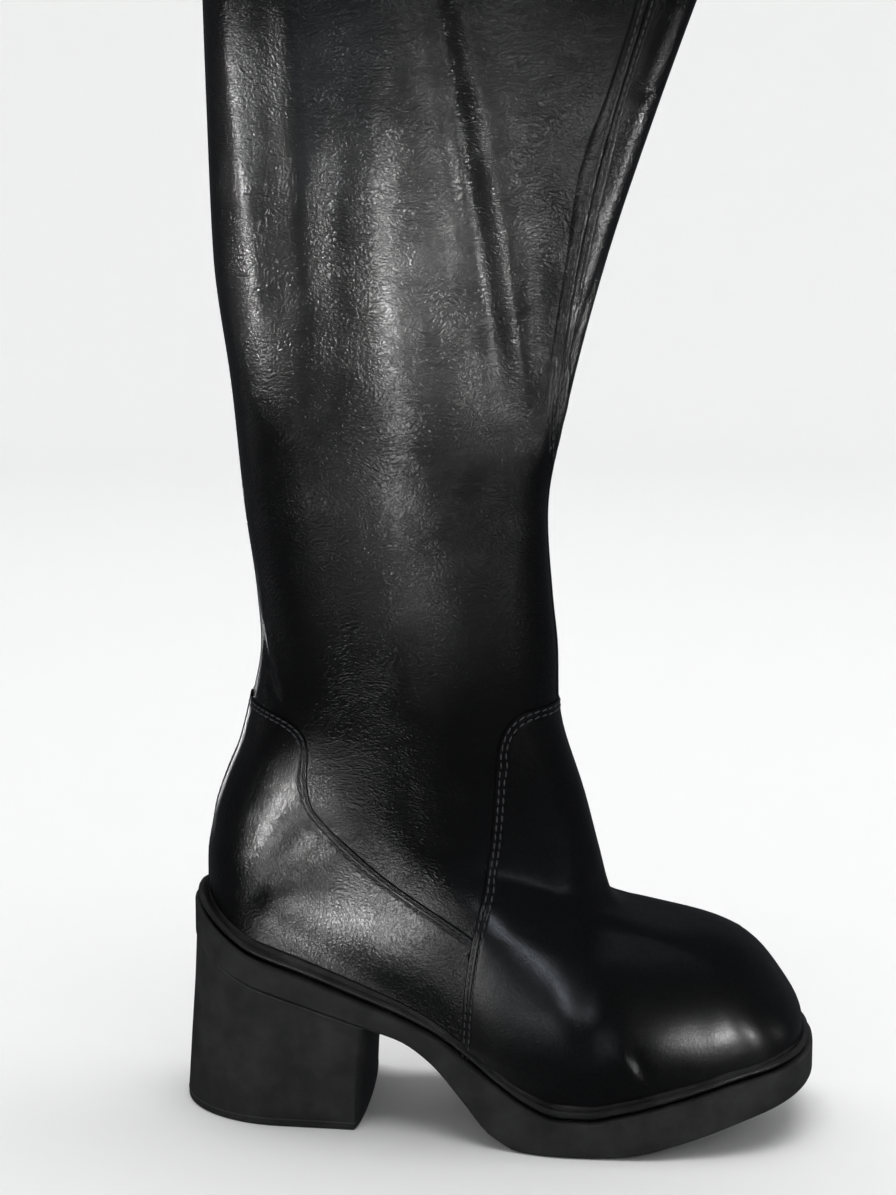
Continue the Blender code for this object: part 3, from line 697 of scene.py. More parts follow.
def woven(name, grid, closed=False):
    """A sheet laid on a grid of points, whose rows run up and whose columns run across."""
    rows, columns = grid.shape[:2]
    sheet, across, up = cut_sheet(name, columns - 1, rows - 1)
    row = np.rint(up * (rows - 1)).astype(int)
    column = np.rint(across * (columns - 1)).astype(int)
    lay(sheet, grid[row, column], closed)
    return sheet


def face_outwards(sheet, face, out):
    """Turn a sheet over if the face of a number looks away from an outward direction."""
    if np.dot(sheet.data.polygons[face].normal, out) < 0:
        on_all(sheet, bpy.ops.mesh.flip_normals)


def thicken(sheet, thickness):
    """Give a sheet its thickness, inwards."""
    alone(sheet)
    wall = sheet.modifiers.new("thickness", "SOLIDIFY")
    wall.thickness = thickness
    wall.offset = -1
    bpy.ops.object.modifier_apply(modifier=wall.name)


def wear(piece, slot, look, *nodes):
    """Give a piece its finish and its place on the boot; the slot is not used."""
    piece.data.materials.clear()
    piece.data.materials.append(look)
    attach(piece, "root")
    if nodes:
        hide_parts(*nodes)
    print(piece.name, len(piece.data.polygons), "faces")


# %% [markdown]
# ## The two quarters
# The shaft and the foot under the overlays are two leather quarters, an outer and an inner one.
# They meet in a seam down the back and one down the front. The front seam has twisted towards the
# outer side at the top, so its line is drawn from the side and found on the form.

# %% The line of the front seam
SEAM = ((193, 495), (188, 472), (181, 449), (173.5, 422), (167, 395), (161, 363), (156.5, 330),
        (153.5, 301))
seam_found = find(round_corners(SEAM, 2))
seam_rows = np.concatenate([[0, 68, 136, 148], seam_found[::-1, 0]])
seam_columns = np.concatenate([[FRONT, FRONT, FRONT + 4, FRONT + 3], seam_found[::-1, 1]])
seam_rows, first = np.unique(seam_rows, return_index=True)
seam_columns = soften(np.interp(np.arange(ROWS), seam_rows, seam_columns[first]), 20)
print("front seam at the collar: column", round(seam_columns[-1], 1), "of", AROUND)


def back(rows):
    """The column of the back seam at each row."""
    return 0 * rows


def front_seam(rows):
    """The column of the front seam at each row."""
    return np.interp(rows, np.arange(ROWS), seam_columns)


# %% The outer and inner quarter
QUARTER_LEATHER = 0.0012


def quarter(name, start, stop):
    """A leather quarter between two columns, which may change from row to row."""
    sheet, across, up = cut_sheet(name, 96, 225)
    rows = up * (ROWS - 1)
    lay(sheet, read_form(rows, start(rows) + across * (stop(rows) - start(rows)))[0])
    thicken(sheet, QUARTER_LEATHER)
    wear(sheet, "upper_leather", shaft_leather, "upper")


quarter("outer_quarter", back, front_seam)
quarter("inner_quarter", front_seam, lambda rows: back(rows) + AROUND)

# %% [markdown]
# ## Lines beside lines
# Edges, seams and rows of thread all run beside each other at a few millimetres. This helper
# moves a line sideways over the form, and everything sewn is built with it.

# %% Moving a line sideways on the form
def beside(line, distance):
    """Rows and columns a distance in millimetres to the left of a line, seen from outside."""
    rows, columns = line[:, 0], line[:, 1]
    here, out = read_form(rows, columns)
    side = np.cross(out, np.gradient(here, axis=0))
    side = side / np.linalg.norm(side, axis=1, keepdims=True) * np.reshape(distance, (-1, 1)) * MM
    step = 0.4
    up = (read_form(rows + step, columns)[0] - read_form(rows - step, columns)[0]) / (2 * step)
    over = (read_form(rows, columns + step)[0] - read_form(rows, columns - step)[0]) / (2 * step)
    a, b, c = ((m * n).sum(axis=1) for m, n in ((up, up), (up, over), (over, over)))
    p, q = (side * up).sum(axis=1), (side * over).sum(axis=1)
    span = a * c - b * b
    return np.column_stack([rows + (c * p - b * q) / span, columns + (a * q - b * p) / span])


def even(line, pitch=None, count=None):
    """A line on the form at even steps, of about a pitch in millimetres or of a count."""
    places = read_form(line[:, 0], line[:, 1])[0]
    length = np.linalg.norm(np.diff(places, axis=0), axis=1).sum() / MM
    return spread(line, places, count or int(round(length / pitch)) + 1)


# %% [markdown]
# ## The overlays
# A counter wraps the heel and a vamp covers the toes and climbs the ankle. Each is a second layer
# of leather with a folded edge and two rows of thread. A Boolean cut through a shell would leave a
# ragged edge, so each overlay is a grid whose last rows follow its edge at fixed distances: they
# carry the rounded edge and the dips that the thread pulls into the leather.

# %% An overlay's edge
FOLD_WIDTH, DIP, DIP_WIDTH, PUFF = 0.7, 0.24, 0.5, 0.14


def edge_height(distance, thickness, threads):
    """How high an overlay stands at a distance from its edge, in millimetres."""
    rise = 1 - np.clip(distance / FOLD_WIDTH, 0, 1)
    height = thickness * (0.3 + 0.7 * np.sqrt(1 - rise * rise))
    for thread in threads:
        height = height - DIP * np.exp(-(((distance - thread) / DIP_WIDTH) ** 2))
    puff = (distance - np.mean(threads)) / (0.42 * (threads[1] - threads[0]))
    return height + PUFF * np.exp(-(puff**4)) * (distance > 0)


def edge_steps(threads):
    """The distances from the edge that need a row of corners, from the far one to the edge."""
    first, second = threads
    return (second + 1.6, second + 0.9, second + 0.45, second, second - 0.45, (first + second) / 2,
            first + 0.45, first, max(first - 0.45, 0.5), 0.35, 0.18, 0.07, 0.0)


def smooth_line(line, times):
    return np.column_stack([soften(line[:, 0], times), soften(line[:, 1], times)])


def beside_edge(edge, distance):
    """A line beside an overlay's edge, whose corners are softer the further in it runs."""
    return smooth_line(beside(edge, distance), int(5 * max(distance - 0.6, 0)))


# %% [markdown]
# The grid's other rows go from the lasted foot of the overlay to the first of these rows. Where an
# edge is steep, as the counter's is behind the ankle, the foot's columns are kept behind it, so
# that the sheet doesn't fold over itself.

# %% Cutting an overlay
BODY_ROWS, SAMPLE_ROW = 44, 30
OVERLAY_LEATHER = 0.0009


def level(places):
    """No extra height anywhere."""
    return 0 * places[..., 0]


def kept_behind(wanted, limit):
    """Columns that stay behind a limit in the first half of a line, and free later."""
    share = np.linspace(0, 1, len(wanted))
    kept = np.minimum(wanted, limit + 30 * ease((share - 0.5) / 0.35))
    gap = 0.25 * wanted[-1] / len(wanted)
    for k in range(len(kept) - 2, -1, -1):
        kept[k] = min(kept[k], kept[k + 1] - gap)
    kept = kept - kept[0] * (1 - share)
    return soften(kept, 20)


def overlay(name, edge, foot, count, threads, thickness, extra, slot, look, behind=False):
    """An overlay from its lasted foot, a line of columns on row 0, to its edge that shows."""
    edge = even(edge, count=count)
    inner = smooth_line(beside(edge, threads[1] + 3.6), 24)
    foot_line = even(np.column_stack([np.zeros(200), np.linspace(*foot, 200)]), count=count)
    middle = count // 2
    if behind:
        for half, way in ((slice(middle, None), -1), (slice(count - middle - 1, None, -1), 1)):
            foot_line[half, 1] = way * kept_behind(way * foot_line[half, 1], way * inner[half, 1])
    rows = []
    for share in np.linspace(0, 1, BODY_ROWS):
        rows.append(foot_line + (smooth_line(inner, int(1500 * (1 - share) ** 2)) - foot_line) * share)
    steps = edge_steps(threads)
    rows = np.array(rows + [beside_edge(edge, step) for step in steps])
    heights = [thickness] * BODY_ROWS + [edge_height(step, thickness, threads) for step in steps]
    points, out = read_form(rows[..., 0], rows[..., 1])
    lift = np.array(heights)[:, None] + extra(drafted(points))
    piece = woven(name + "_overlay", points + out * lift[..., None] * MM)
    face_outwards(piece, SAMPLE_ROW * (count - 1) + middle, out[SAMPLE_ROW, middle])
    thicken(piece, OVERLAY_LEATHER)
    wear(piece, slot, look, name)
    return edge


# %% [markdown]
# The counter's edge runs over the back, drops behind the ankle and slants down to the vamp. Only
# the outer half is drawn: the inner half has the same rows and mirrored columns.

# %% The counter
COUNTER_EDGE = (
    (26.3, 183.0), (33.0, 183.0), (44.0, 180.5), (51.0, 177.0), (54.5, 172.0), (55.0, 164.0),
    (54.4, 154.0), (55.6, 145.0), (59.0, 139.0), (64.0, 134.0), (72.0, 127.0), (86.0, 115.0),
    (103.0, 104.5), (116.0, 97.0), (128.0, 89.0),
)
COUNTER_FOOT = (126, 40)
COUNTER_THREADS = (1.0, 3.0)
COUNTER_THICKNESS = 0.8
counter_half = find(round_corners(COUNTER_EDGE))
counter_half[0, 1] = 0
mirrored = counter_half[::-1] * (1, -1)
tail = find([COUNTER_FOOT])[0, 1]
counter_edge = overlay(
    "counter", np.concatenate([mirrored, counter_half[1:]])[::-1], (tail, -tail), 320,
    COUNTER_THREADS, COUNTER_THICKNESS, level, "counter_leather", heel_leather, behind=True)

# %% [markdown]
# The vamp laps over the counter's tail, so it stands a little higher there.

# %% The vamp
VAMP_EDGE = (
    (120.5, 30.0), (121.0, 45.0), (121.6, 57.0), (122.3, 70.0), (125.8, 94.0), (129.2, 109.0),
    (131.4, 126.0), (132.6, 143.0), (133.2, 165.0), (134.5, 173.5), (137.5, 179.5), (142.5, 183.3),
    (148.0, 185.0), (157.0, 185.5),
)
VAMP_FOOT = (127, 34)
VAMP_THREADS = (1.4, 3.6)
VAMP_THICKNESS = 0.95
vamp_half = find(round_corners(VAMP_EDGE))
vamp_half[0, 0] = 0
vamp_half[-1, 1] = FRONT
mirrored = vamp_half[-2::-1] * (1, -1) + (0, AROUND)


def over_counter(places):
    """How much higher the vamp stands where the counter's tail lies under it."""
    return 0.55 * ease((100 - places[..., 2]) / 9) * ease((150 - places[..., 0]) / 22)


foot_start = find([VAMP_FOOT])[0, 1]
vamp_edge = overlay(
    "vamp", np.concatenate([vamp_half, mirrored])[::-1], (AROUND - foot_start, foot_start), 330,
    VAMP_THREADS, VAMP_THICKNESS, over_counter, "vamp_leather", toe_leather)

# %% [markdown]
# ## Seams and binding
# The two quarters are sewn face to face down the front and the back, then opened and top-stitched,
# so each seam has a narrow groove, a soft shoulder on either side and a row of thread on each
# shoulder. A profile carried along a line makes the seams and the strip behind the heel.

# %% Carrying a profile along a line
BAND_LEATHER = 0.0005
SEAM_PROFILE = (
    (0.0, -0.25), (0.45, 0.42), (1.0, 0.5), (1.7, 0.2), (2.5, 0.36), (3.2, 0.5), (4.0, 0.32),
    (4.6, 0.0), (5.2, -0.4),
)
STRIP_PROFILE = (
    (0.0, 1.5), (2.4, 1.45), (3.1, 1.25), (3.8, 1.4), (4.4, 1.35), (4.8, 1.0), (4.9, 0.3),
)


def strip(name, rows, column, profile, look, slot):
    """A band between two rows: half of its profile is pairs of a distance aside and a lift."""
    up = np.linspace(*rows)
    line = even(np.column_stack([up, column(up)]), 2.0)
    profile = np.array(profile)
    profile = np.concatenate([profile[::-1], profile[1:] * (-1, 1)])
    grid = np.array([beside(line, distance) for distance in profile[:, 0]])
    points, out = read_form(grid[..., 0], grid[..., 1], profile[:, 1:] * MM)
    piece = woven(name, points)
    middle, halfway = len(profile) // 2, len(line) // 2
    face_outwards(piece, middle * (len(line) - 1) + halfway, out[middle, halfway])
    thicken(piece, BAND_LEATHER)
    wear(piece, slot, look)
    return line


ankle_row, heel_row, top_row = vamp_half[-1, 0], counter_half[0, 0], ROWS - 2.0
front_line = strip(
    "front_seam", (ankle_row - 2, top_row, 300), front_seam, SEAM_PROFILE, shaft_leather, "upper_leather")
back_line = strip(
    "back_seam", (heel_row - 2, top_row, 300), back, SEAM_PROFILE, shaft_leather, "upper_leather")
heel_line = strip(
    "heel_strip", (LASTED - 3.0, heel_row + 0.8, 80), back, STRIP_PROFILE, heel_leather, "counter_leather")

# %% [markdown]
# The collar's leather is turned over its edge and sewn down inside. Its profile starts below the
# edge outside, rises over it and ends below it inside. Heights under the edge are read along the
# form, and the little that stands above it goes straight up.

# %% The collar's turned edge
COLLAR = (
    (-11.0, 0.1), (-11.2, 0.6), (-10.4, 0.85), (-7.0, 0.75), (-4.2, 0.55), (-3.6, 0.45),
    (-3.0, 0.55), (-1.0, 0.8), (0.4, 0.6), (1.1, -0.1), (1.3, -1.2), (1.0, -2.1), (0.0, -2.7),
    (-4.0, -2.8), (-11.0, -2.6),
)
heights, lifts = np.array(COLLAR).T[..., None]
collar_rows = ROWS - 1.0 + np.minimum(heights, 0) / ROW_PITCH
points, out = read_form(collar_rows, np.linspace(0, AROUND, 321)[None, :], lifts * MM)
points[..., 2] += np.maximum(heights, 0) * MM
collar = woven("collar_edge", points, closed=True)
wear(collar, "upper_leather", shaft_leather)

# %% [markdown]
# A dark textile lines the shaft. It only has to follow the leather's inside, so it is a coarser
# sheet, turned to face inwards.

# %% The lining
LINING_IN, LINING_THICKNESS = -0.0021, 0.0006
lining_rows, lining_columns = np.linspace(1.0, ROWS - 4.0, 114), np.linspace(AROUND, 0, 125)
lining = woven("lining", read_form(lining_rows[:, None], lining_columns[None, :], LINING_IN)[0])
on_all(lining, bpy.ops.mesh.remove_doubles, threshold=WELD)
thicken(lining, LINING_THICKNESS)
wear(lining, "insole_lining", lining_cloth)

# %% [markdown]
# ## Thread
# A stitch is a short plump loop of thread that dips into the leather at both ends. It is modelled
# once with a few dozen faces and copied along every row, a little askew as a lockstitch lies.

# %% One stitch
STITCH = (2.9, 0.78, 0.78)
bpy.ops.object.select_all(action="DESELECT")
bpy.ops.mesh.primitive_uv_sphere_add(segments=8, ring_count=6, radius=0.5, rotation=(0, np.pi / 2, 0))
one_stitch = bpy.context.object
bpy.ops.object.transform_apply(location=False, rotation=True, scale=False)
on_all(one_stitch, bpy.ops.transform.resize, value=STITCH)
print("one stitch:", len(one_stitch.data.polygons), "faces")


def copies(name, one, centres, *directions):
    """Many copies of a small piece as one mesh, each with its own place and three directions."""
    corners = np.array([corner.co for corner in one.data.vertices])
    places = centres[:, None]
    for axis, direction in enumerate(directions):
        places = places + corners[None, :, axis, None] * direction[:, None]
    faces = [tuple(face.vertices) for face in one.data.polygons]
    step = len(corners)
    mesh = bpy.data.meshes.new(name)
    mesh.from_pydata(
        places.reshape(-1, 3).tolist(), [],
        [tuple(corner + k * step for corner in face) for k in range(len(centres)) for face in faces])
    piece = bpy.data.objects.new(name, mesh)
    bpy.context.collection.objects.link(piece)
    alone(piece)
    bpy.ops.object.shade_smooth()
    return piece


def sew(name, threads, slot, pitch=3.8, askew=0.10, extra=level):
    """Rows of stitches; each row is a line on the form and its lift in millimetres."""
    stitches = []
    for line, lift in threads:
        line = even(line, pitch)
        points, out = read_form(line[:, 0], line[:, 1])
        points = points + out * (lift + extra(drafted(points)))[:, None] * MM
        run = np.gradient(points, axis=0)
        run = run / np.linalg.norm(run, axis=1, keepdims=True)
        aside = np.cross(out, run)
        stitches.append((points, (run + askew * aside) * MM, (aside - askew * run) * MM, out * MM))
    wear(copies(name, one_stitch, *map(np.concatenate, zip(*stitches))), slot, sheen_painted_thread)


# %% [markdown]
# An overlay's thread lies in the dips of its edge, a shaft seam's on its two shoulders, and one
# more row holds the collar's turned edge.

# %% Every row of thread
THREAD_PROUD = 0.16
SEAM_THREAD, STRIP_THREAD, COLLAR_THREAD = (1.7, 0.12), (3.1, 1.12), (3.6, 0.55)


def edge_threads(edge, threads, thickness):
    """The rows of thread beside an overlay's edge, and how high each lies."""
    return [(beside_edge(edge, thread), edge_height(thread, thickness, threads) + THREAD_PROUD)
            for thread in threads]


def pair(line, aside, lift):
    """A row of thread on each side of a line."""
    return [(beside(line, -aside), lift), (beside(line, aside), lift)]


collar_row = np.full(400, ROWS - 1.0 - COLLAR_THREAD[0] / ROW_PITCH)
collar_line = np.column_stack([collar_row, np.linspace(0, AROUND, 400)])
sew("vamp_thread", edge_threads(vamp_edge, VAMP_THREADS, VAMP_THICKNESS), "vamp_leather",
    extra=over_counter)
sew("counter_thread", edge_threads(counter_edge, COUNTER_THREADS, COUNTER_THICKNESS),
    "counter_leather", pitch=3.3)
sew("shaft_thread",
    pair(front_line, *SEAM_THREAD) + pair(back_line, *SEAM_THREAD) + [(collar_line, COLLAR_THREAD[1])],
    "upper_leather", askew=0.05)
sew("heel_strip_thread", pair(heel_line, *STRIP_THREAD), "counter_leather")
bpy.data.objects.remove(one_stitch)

# %% [markdown]
# ## The sole
# The platform, the heel block and its top lift are moulded or cut rubber. Each is a closed sheet
# wound round the sole's outline: its rows run from the middle of the underside out to the edge,
# up the side and in again to the middle of the top. A block with a bevel would do for a plain
# sole, but this one swings, flares, arches and springs up at the toe all at once.

# %% The sole's plan
PLAN_COLUMNS = ("share", "half", "flare")
PLAN = (
    (0.00, 34.0, 0.0), (0.12, 34.5, 0.0), (0.28, 34.0, 0.2), (0.38, 35.0, 1.0), (0.50, 42.5, 2.0),
    (0.62, 48.5, 2.4), (0.72, 48.3, 2.2), (0.84, 44.0, 1.2), (0.92, 40.0, 0.6), (1.00, 37.0, 0.2),
)
SOLE_ROUNDS, SOLE_POWERS = (34.0, 30.0), (2.15, 2.5)


def plan_at(name, x):
    return reading(PLAN, PLAN_COLUMNS, name, x / SOLE_LENGTH)


def underside(x):
    return sole_at("under", x)


sole_plan = outline(
    0.0, SOLE_LENGTH, *SOLE_ROUNDS, SOLE_POWERS, lambda x: plan_at("half", x), middle_line)
flare = plan_at("flare", sole_plan[:, 0])
seat, bead, bead_in, rim = (
    sole_at(name, sole_plan[:, 0]) for name in ("seat", "bead", "bead_in", "rim"))
print("sole:", round(np.ptp(sole_plan[:, 1] - middle_line(sole_plan[:, 0]))), "mm wide")

# %% [markdown]
# Four small helpers wind every closed piece: one moves an outline out or in, one draws it in
# towards its middle line to close a flat face, one turns a rounded edge, and one makes the piece.

# %% Winding closed pieces
def moved_out(plan, distance):
    """An outline moved outwards by a distance that may vary round it."""
    along = np.roll(plan, -1, axis=0) - np.roll(plan, 1, axis=0)
    along = along / np.linalg.norm(along, axis=1, keepdims=True)
    away = np.column_stack([along[:, 1], -along[:, 0]])
    return plan + away * np.reshape(distance, (-1, 1))


def drawn_in(plan, inset, share):
    """An outline moved in, then narrowed to a share of its width about its middle line."""
    plan = moved_out(plan, -inset)
    middle = (plan[:, 1] + np.roll(plan[::-1, 1], 1)) / 2
    return np.column_stack([plan[:, 0], middle + (plan[:, 1] - middle) * share])


def edge_turns(radius, *degrees):
    """How far a rounded edge is from its side and from its face, turn by turn."""
    turns = np.radians(degrees)
    return zip(radius * (1 - np.sin(turns)), radius * (1 - np.cos(turns)))


def wound(name, rows):
    """A closed piece from drafted rings, each an outline and its heights."""
    grid = np.array([np.column_stack([plan, np.broadcast_to(height, len(plan))]) for plan, height in rows])
    grid = np.concatenate([grid, grid[:, :1]], axis=1)
    return woven(name, metres(grid), closed=True)


# %% [markdown]
# The platform's tread is sunk inside a plain rim, and its lugs are separate bars laid in the
# hollow, each trimmed to the sole's width.

# %% The platform
TREAD, TREAD_INSET = 1.5, 6.2
FOOT_RADIUS, RIM_RADIUS = 1.8, 1.0


def tread_depth(x):
    """How deep the hollow for the lugs is at each x."""
    return TREAD * ease((x - 124) / 6) * ease((262 - x) / 6)


foot_edge = moved_out(sole_plan, flare)
rows = []
for share in (0.0, 0.3, 0.6, 0.8):
    plan = drawn_in(foot_edge, TREAD_INSET, share)
    rows.append((plan, underside(plan[:, 0]) + tread_depth(plan[:, 0])))
for inset, depth in ((TREAD_INSET, 1.0), (5.8, 0.9), (5.5, 0.15), (5.0, 0.0), (3.4, 0.0), (1.8, 0.0)):
    plan = moved_out(foot_edge, -inset)
    rows.append((plan, underside(plan[:, 0]) + depth * tread_depth(plan[:, 0])))
for inset, rise in edge_turns(FOOT_RADIUS, 15, 35, 55, 75, 90):
    plan = moved_out(foot_edge, -inset)
    rows.append((plan, underside(plan[:, 0]) + rise))
low, high = underside(sole_plan[:, 0]) + FOOT_RADIUS, rim - RIM_RADIUS
for share in np.linspace(0, 1, 9)[1:]:
    rows.append((moved_out(sole_plan, flare * (1 - share)), low + (high - low) * share))
for drop, inset in edge_turns(RIM_RADIUS, 25, 50, 75, 90):
    rows.append((moved_out(sole_plan, -inset), rim - drop))
rows.append((moved_out(sole_plan, -3.2), rim))
rows += [(drawn_in(sole_plan, 3.8, share), seat) for share in (1.0, 0.5, 0.0)]
wear(wound("platform", rows), "outsole_rubber", sole_rubber, "outsole")

# %% One lug, and its copies
bpy.ops.object.select_all(action="DESELECT")
bpy.ops.mesh.primitive_cube_add(size=1)
one_lug = bpy.context.object
on_all(one_lug, bpy.ops.mesh.bevel, offset=0.07, segments=2, profile=0.6)
print("one lug:", len(one_lug.data.polygons), "faces")


def bars(name, places, length, thick, look, slot):
    """Bars across the sole; each place is x, its two ends in y, its foot and its slope."""
    lugs = []
    for x, low_y, high_y, foot, slope in places:
        lugs.append((
            metres((x, (low_y + high_y) / 2, foot + thick / 2)),
            np.array((length, 0, slope * length)) * MM,
            np.array((0, high_y - low_y, 0)) * MM,
            np.array((0, 0, thick)) * MM))
    lugs = copies(name, one_lug, *map(np.array, zip(*lugs)))
    alone(lugs)
    bpy.ops.object.shade_smooth_by_angle(angle=np.radians(35))
    wear(lugs, slot, look)


def ends_across(plan, x):
    """The outer and inner ends of a line across an outline."""
    outer, inner = plan[:HALF + 1], plan[:HALF - 1:-1]
    return np.interp(x, outer[:, 0], outer[:, 1]), np.interp(x, inner[:, 0], inner[:, 1])


LUG_GAP, LUG_SPLIT = 2.2, 7.0
inside = moved_out(foot_edge, -8.4)
places = []
for k, x in enumerate(np.arange(134.0, 254.0, 8.6)):
    low_y, high_y = ends_across(inside, x)
    split = middle_line(x) + (LUG_SPLIT if k % 2 else -LUG_SPLIT)
    slope = (underside(x + 2) - underside(x - 2)) / 4
    for start, stop in ((low_y, split - LUG_GAP), (split + LUG_GAP, high_y)):
        places.append((x, start, stop, underside(x) + 0.1, slope))
bars("tread_lugs", places, 5.4, TREAD + 0.8, sole_rubber, "outsole_rubber")

# %% [markdown]
# The heel block stands under the platform's back. Its back leans out a little towards the floor
# and its breast has rounded corners. A thin top lift, which wears and is replaced, covers its foot.

# %% The heel block
HEEL_COLUMNS = ("height", "back", "front", "half", "back_round", "front_corner")
HEEL = (
    (0.0, -4.3, 77.6, 36.2, 46.0, 3.0), (0.35, -2.6, 78.6, 35.6, 42.0, 4.0),
    (0.75, -0.6, 81.2, 34.8, 37.0, 6.0), (1.0, 0.2, 84.5, 34.3, 35.0, 8.0),
)
LIFT = 3.2
BLOCK_FOOT, BLOCK_TOP = LIFT + 0.3, 0.25
BLOCK_RADIUS = 0.45


def heel_plan(share):
    """The heel's outline at a share of its height."""
    back, front, half, back_round, corner = (
        reading(HEEL, HEEL_COLUMNS, name, share) for name in HEEL_COLUMNS[1:])
    return outline(back, front, back_round, corner, (2.0, 2.0), lambda x: half + 0 * x, lambda x: 0 * x)


def heel_height(plan, share):
    """The block's heights round its outline, up to the platform's underside."""
    return BLOCK_FOOT + (underside(plan[:, 0]) - BLOCK_TOP - BLOCK_FOOT) * share


heel_foot, heel_top = heel_plan(0.0), heel_plan(1.0)
top = heel_height(heel_top, 1.0)
rows = [(drawn_in(heel_foot, 1.0, share), BLOCK_FOOT) for share in (0.0, 0.5, 0.9)]
for inset, rise in edge_turns(BLOCK_RADIUS, 0, 30, 60, 90):
    rows.append((moved_out(heel_foot, -inset), BLOCK_FOOT + rise))
for share in np.linspace(0, 1, 15)[1:-1]:
    plan = heel_plan(share)
    rows.append((plan, heel_height(plan, share)))
for drop, inset in edge_turns(BLOCK_RADIUS, 0, 30, 60, 90):
    rows.append((moved_out(heel_top, -inset), top - drop))
rows += [(drawn_in(heel_top, 1.0, share), top) for share in (0.9, 0.5, 0.0)]
wear(wound("heel_block", rows), "heel_rubber", sole_rubber, "heel")

# %% The top lift and its lugs
LIFT_PROFILE = (
    (5.8, 1.15), (5.4, 0.1), (4.8, 0.0), (2.0, 0.0), (0.9, 0.0), (0.45, 0.12), (0.12, 0.5),
    (0.0, 1.0), (0.0, LIFT - 0.7), (0.1, LIFT - 0.25), (0.5, LIFT),
)
rows = [(drawn_in(heel_foot, 6.0, share), 1.2) for share in (0.0, 0.5, 1.0)]
rows += [(moved_out(heel_foot, -inset), height) for inset, height in LIFT_PROFILE]
rows += [(drawn_in(heel_foot, 1.0, share), LIFT) for share in (0.9, 0.5, 0.0)]
wear(wound("worn_lift", rows), "top_lift_rubber", sole_rubber, "top_lift")

inside = moved_out(heel_foot, -8.2)
places = []
for x in np.arange(8.0, 70.0, 7.6):
    low_y = ends_across(inside, x)[0]
    places.append((x, low_y, -low_y, 0.1, 0.0))
bars("lift_lugs", places, 4.6, 1.5, sole_rubber, "top_lift_rubber")
bpy.data.objects.remove(one_lug)

# %% [markdown]
# Glue and moulding flash show as a thin paler line where the heel meets the platform and where
# the top lift meets the heel. Each is a fine cord, wound like the other closed pieces.

# %% Flash lines
def cord(name, plan, height, radius, slot):
    """A thin closed cord along an outline at a height that may vary round it."""
    rows = []
    for turn in np.radians(np.arange(0, 361, 60)):
        rows.append((moved_out(plan, radius * (np.cos(turn) - 0.35)), height + radius * np.sin(turn)))
    wear(wound(name, rows), slot, flash_rubber)


cord("heel_flash", heel_top, top + 0.12, 0.34, "heel_rubber")
cord("lift_flash", heel_foot, LIFT + 0.15, 0.26, "top_lift_rubber")

# %% [markdown]
# ## The welt
# A rounded bead of softer rubber runs round the platform's edge, over a shadow groove. Behind it a
# rough, glued rand hides the lasted edge of the leather. They are two pieces, because the bead
# follows the sole's outline and the rand's lip follows the leather's.

# %% The bead
BEAD_RADIUS, BEAD_PROUD = 1.55, 0.25
UNDER_BEAD = 0.15


def behind_bead(inset):
    """The sole's outline at the bead, moved in by an inset."""
    return moved_out(sole_plan, -bead_in - inset)


rows = [(behind_bead(6.5), seat + UNDER_BEAD), (behind_bead(2.2), rim + UNDER_BEAD)]
for turn in np.radians((-70, -45, -20, 0, 20, 45, 70, 95, 120, 150, 180)):
    out = BEAD_RADIUS * np.cos(turn) - BEAD_RADIUS + BEAD_PROUD
    rows.append((behind_bead(-out), bead + BEAD_RADIUS * np.sin(turn) - BEAD_RADIUS))
rows += [(behind_bead(7.5), bead - 2.6), (behind_bead(7.5), seat + UNDER_BEAD)]
wear(wound("bead", rows), "welt_rubber", bead_rubber, "welt")

# %% The rand
RAND_PROFILE = (
    (2.4, -1.0), (1.75, -0.7), (1.5, -0.1), (1.5, 0.9), (1.35, 1.6), (1.05, 1.95), (0.7, 1.9),
    (-0.6, 1.2),
)
leather_plan = drafted(form[LASTED])[:, :2]
lip = sole_at("lip", leather_plan[:, 0])
hug = 0.6 + 0.4 * ease(leather_plan[:, 0] / 25)
rows = [(moved_out(leather_plan, -0.6), seat + UNDER_BEAD), (behind_bead(5.0), rim + UNDER_BEAD)]
rows += [(behind_bead(2.6), rim + 0.3), (behind_bead(2.2), bead - 1.2)]
rows += [(moved_out(leather_plan, out * hug), lip + rise) for out, rise in RAND_PROFILE]
wear(wound("rand", rows), "welt_rubber", rand_rubber)

# %% [markdown]
# The insole's solid is right as it is, so it stays and only takes the finish of its board.

# %% The insole
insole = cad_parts["insole"]
insole.data.materials.clear()
insole.data.materials.append(insole_board)
print("insole:", insole.name, insole_board.name)

# %% [markdown]
# ## The stage
# The floor and the backdrop are one pale bowl, flat under the boot and curved up all round it.
# Black leather mirrors all that is round it, so the paper is kept out of its reflections and the
# lamps alone draw them: a studio does the same with black cloth beside the set.

# %% The floor and the backdrop
PAPER_FLAT, PAPER_BEND, PAPER_WALL = 1.9, 1.0, 2.6
QUARTER_TURN = np.pi / 2
pale_paper = bpy.data.materials.new("pale_paper")
pale_paper.use_nodes = True
for name, value in (("Base Color", (0.87, 0.87, 0.87, 1)), ("Roughness", 0.9)):
    pale_paper.node_tree.nodes["Principled BSDF"].inputs[name].default_value = value
paper, across, up = cut_sheet("paper", 64, 70)
length = up * (PAPER_FLAT + PAPER_BEND * QUARTER_TURN + PAPER_WALL)
turn = np.clip((length - PAPER_FLAT) / PAPER_BEND, 0, QUARTER_TURN)
past = np.maximum(length - PAPER_FLAT - PAPER_BEND * QUARTER_TURN, 0)
radius = np.minimum(length, PAPER_FLAT) + PAPER_BEND * np.sin(turn)
height = PAPER_BEND * (1 - np.cos(turn)) + past
about = across * 2 * np.pi
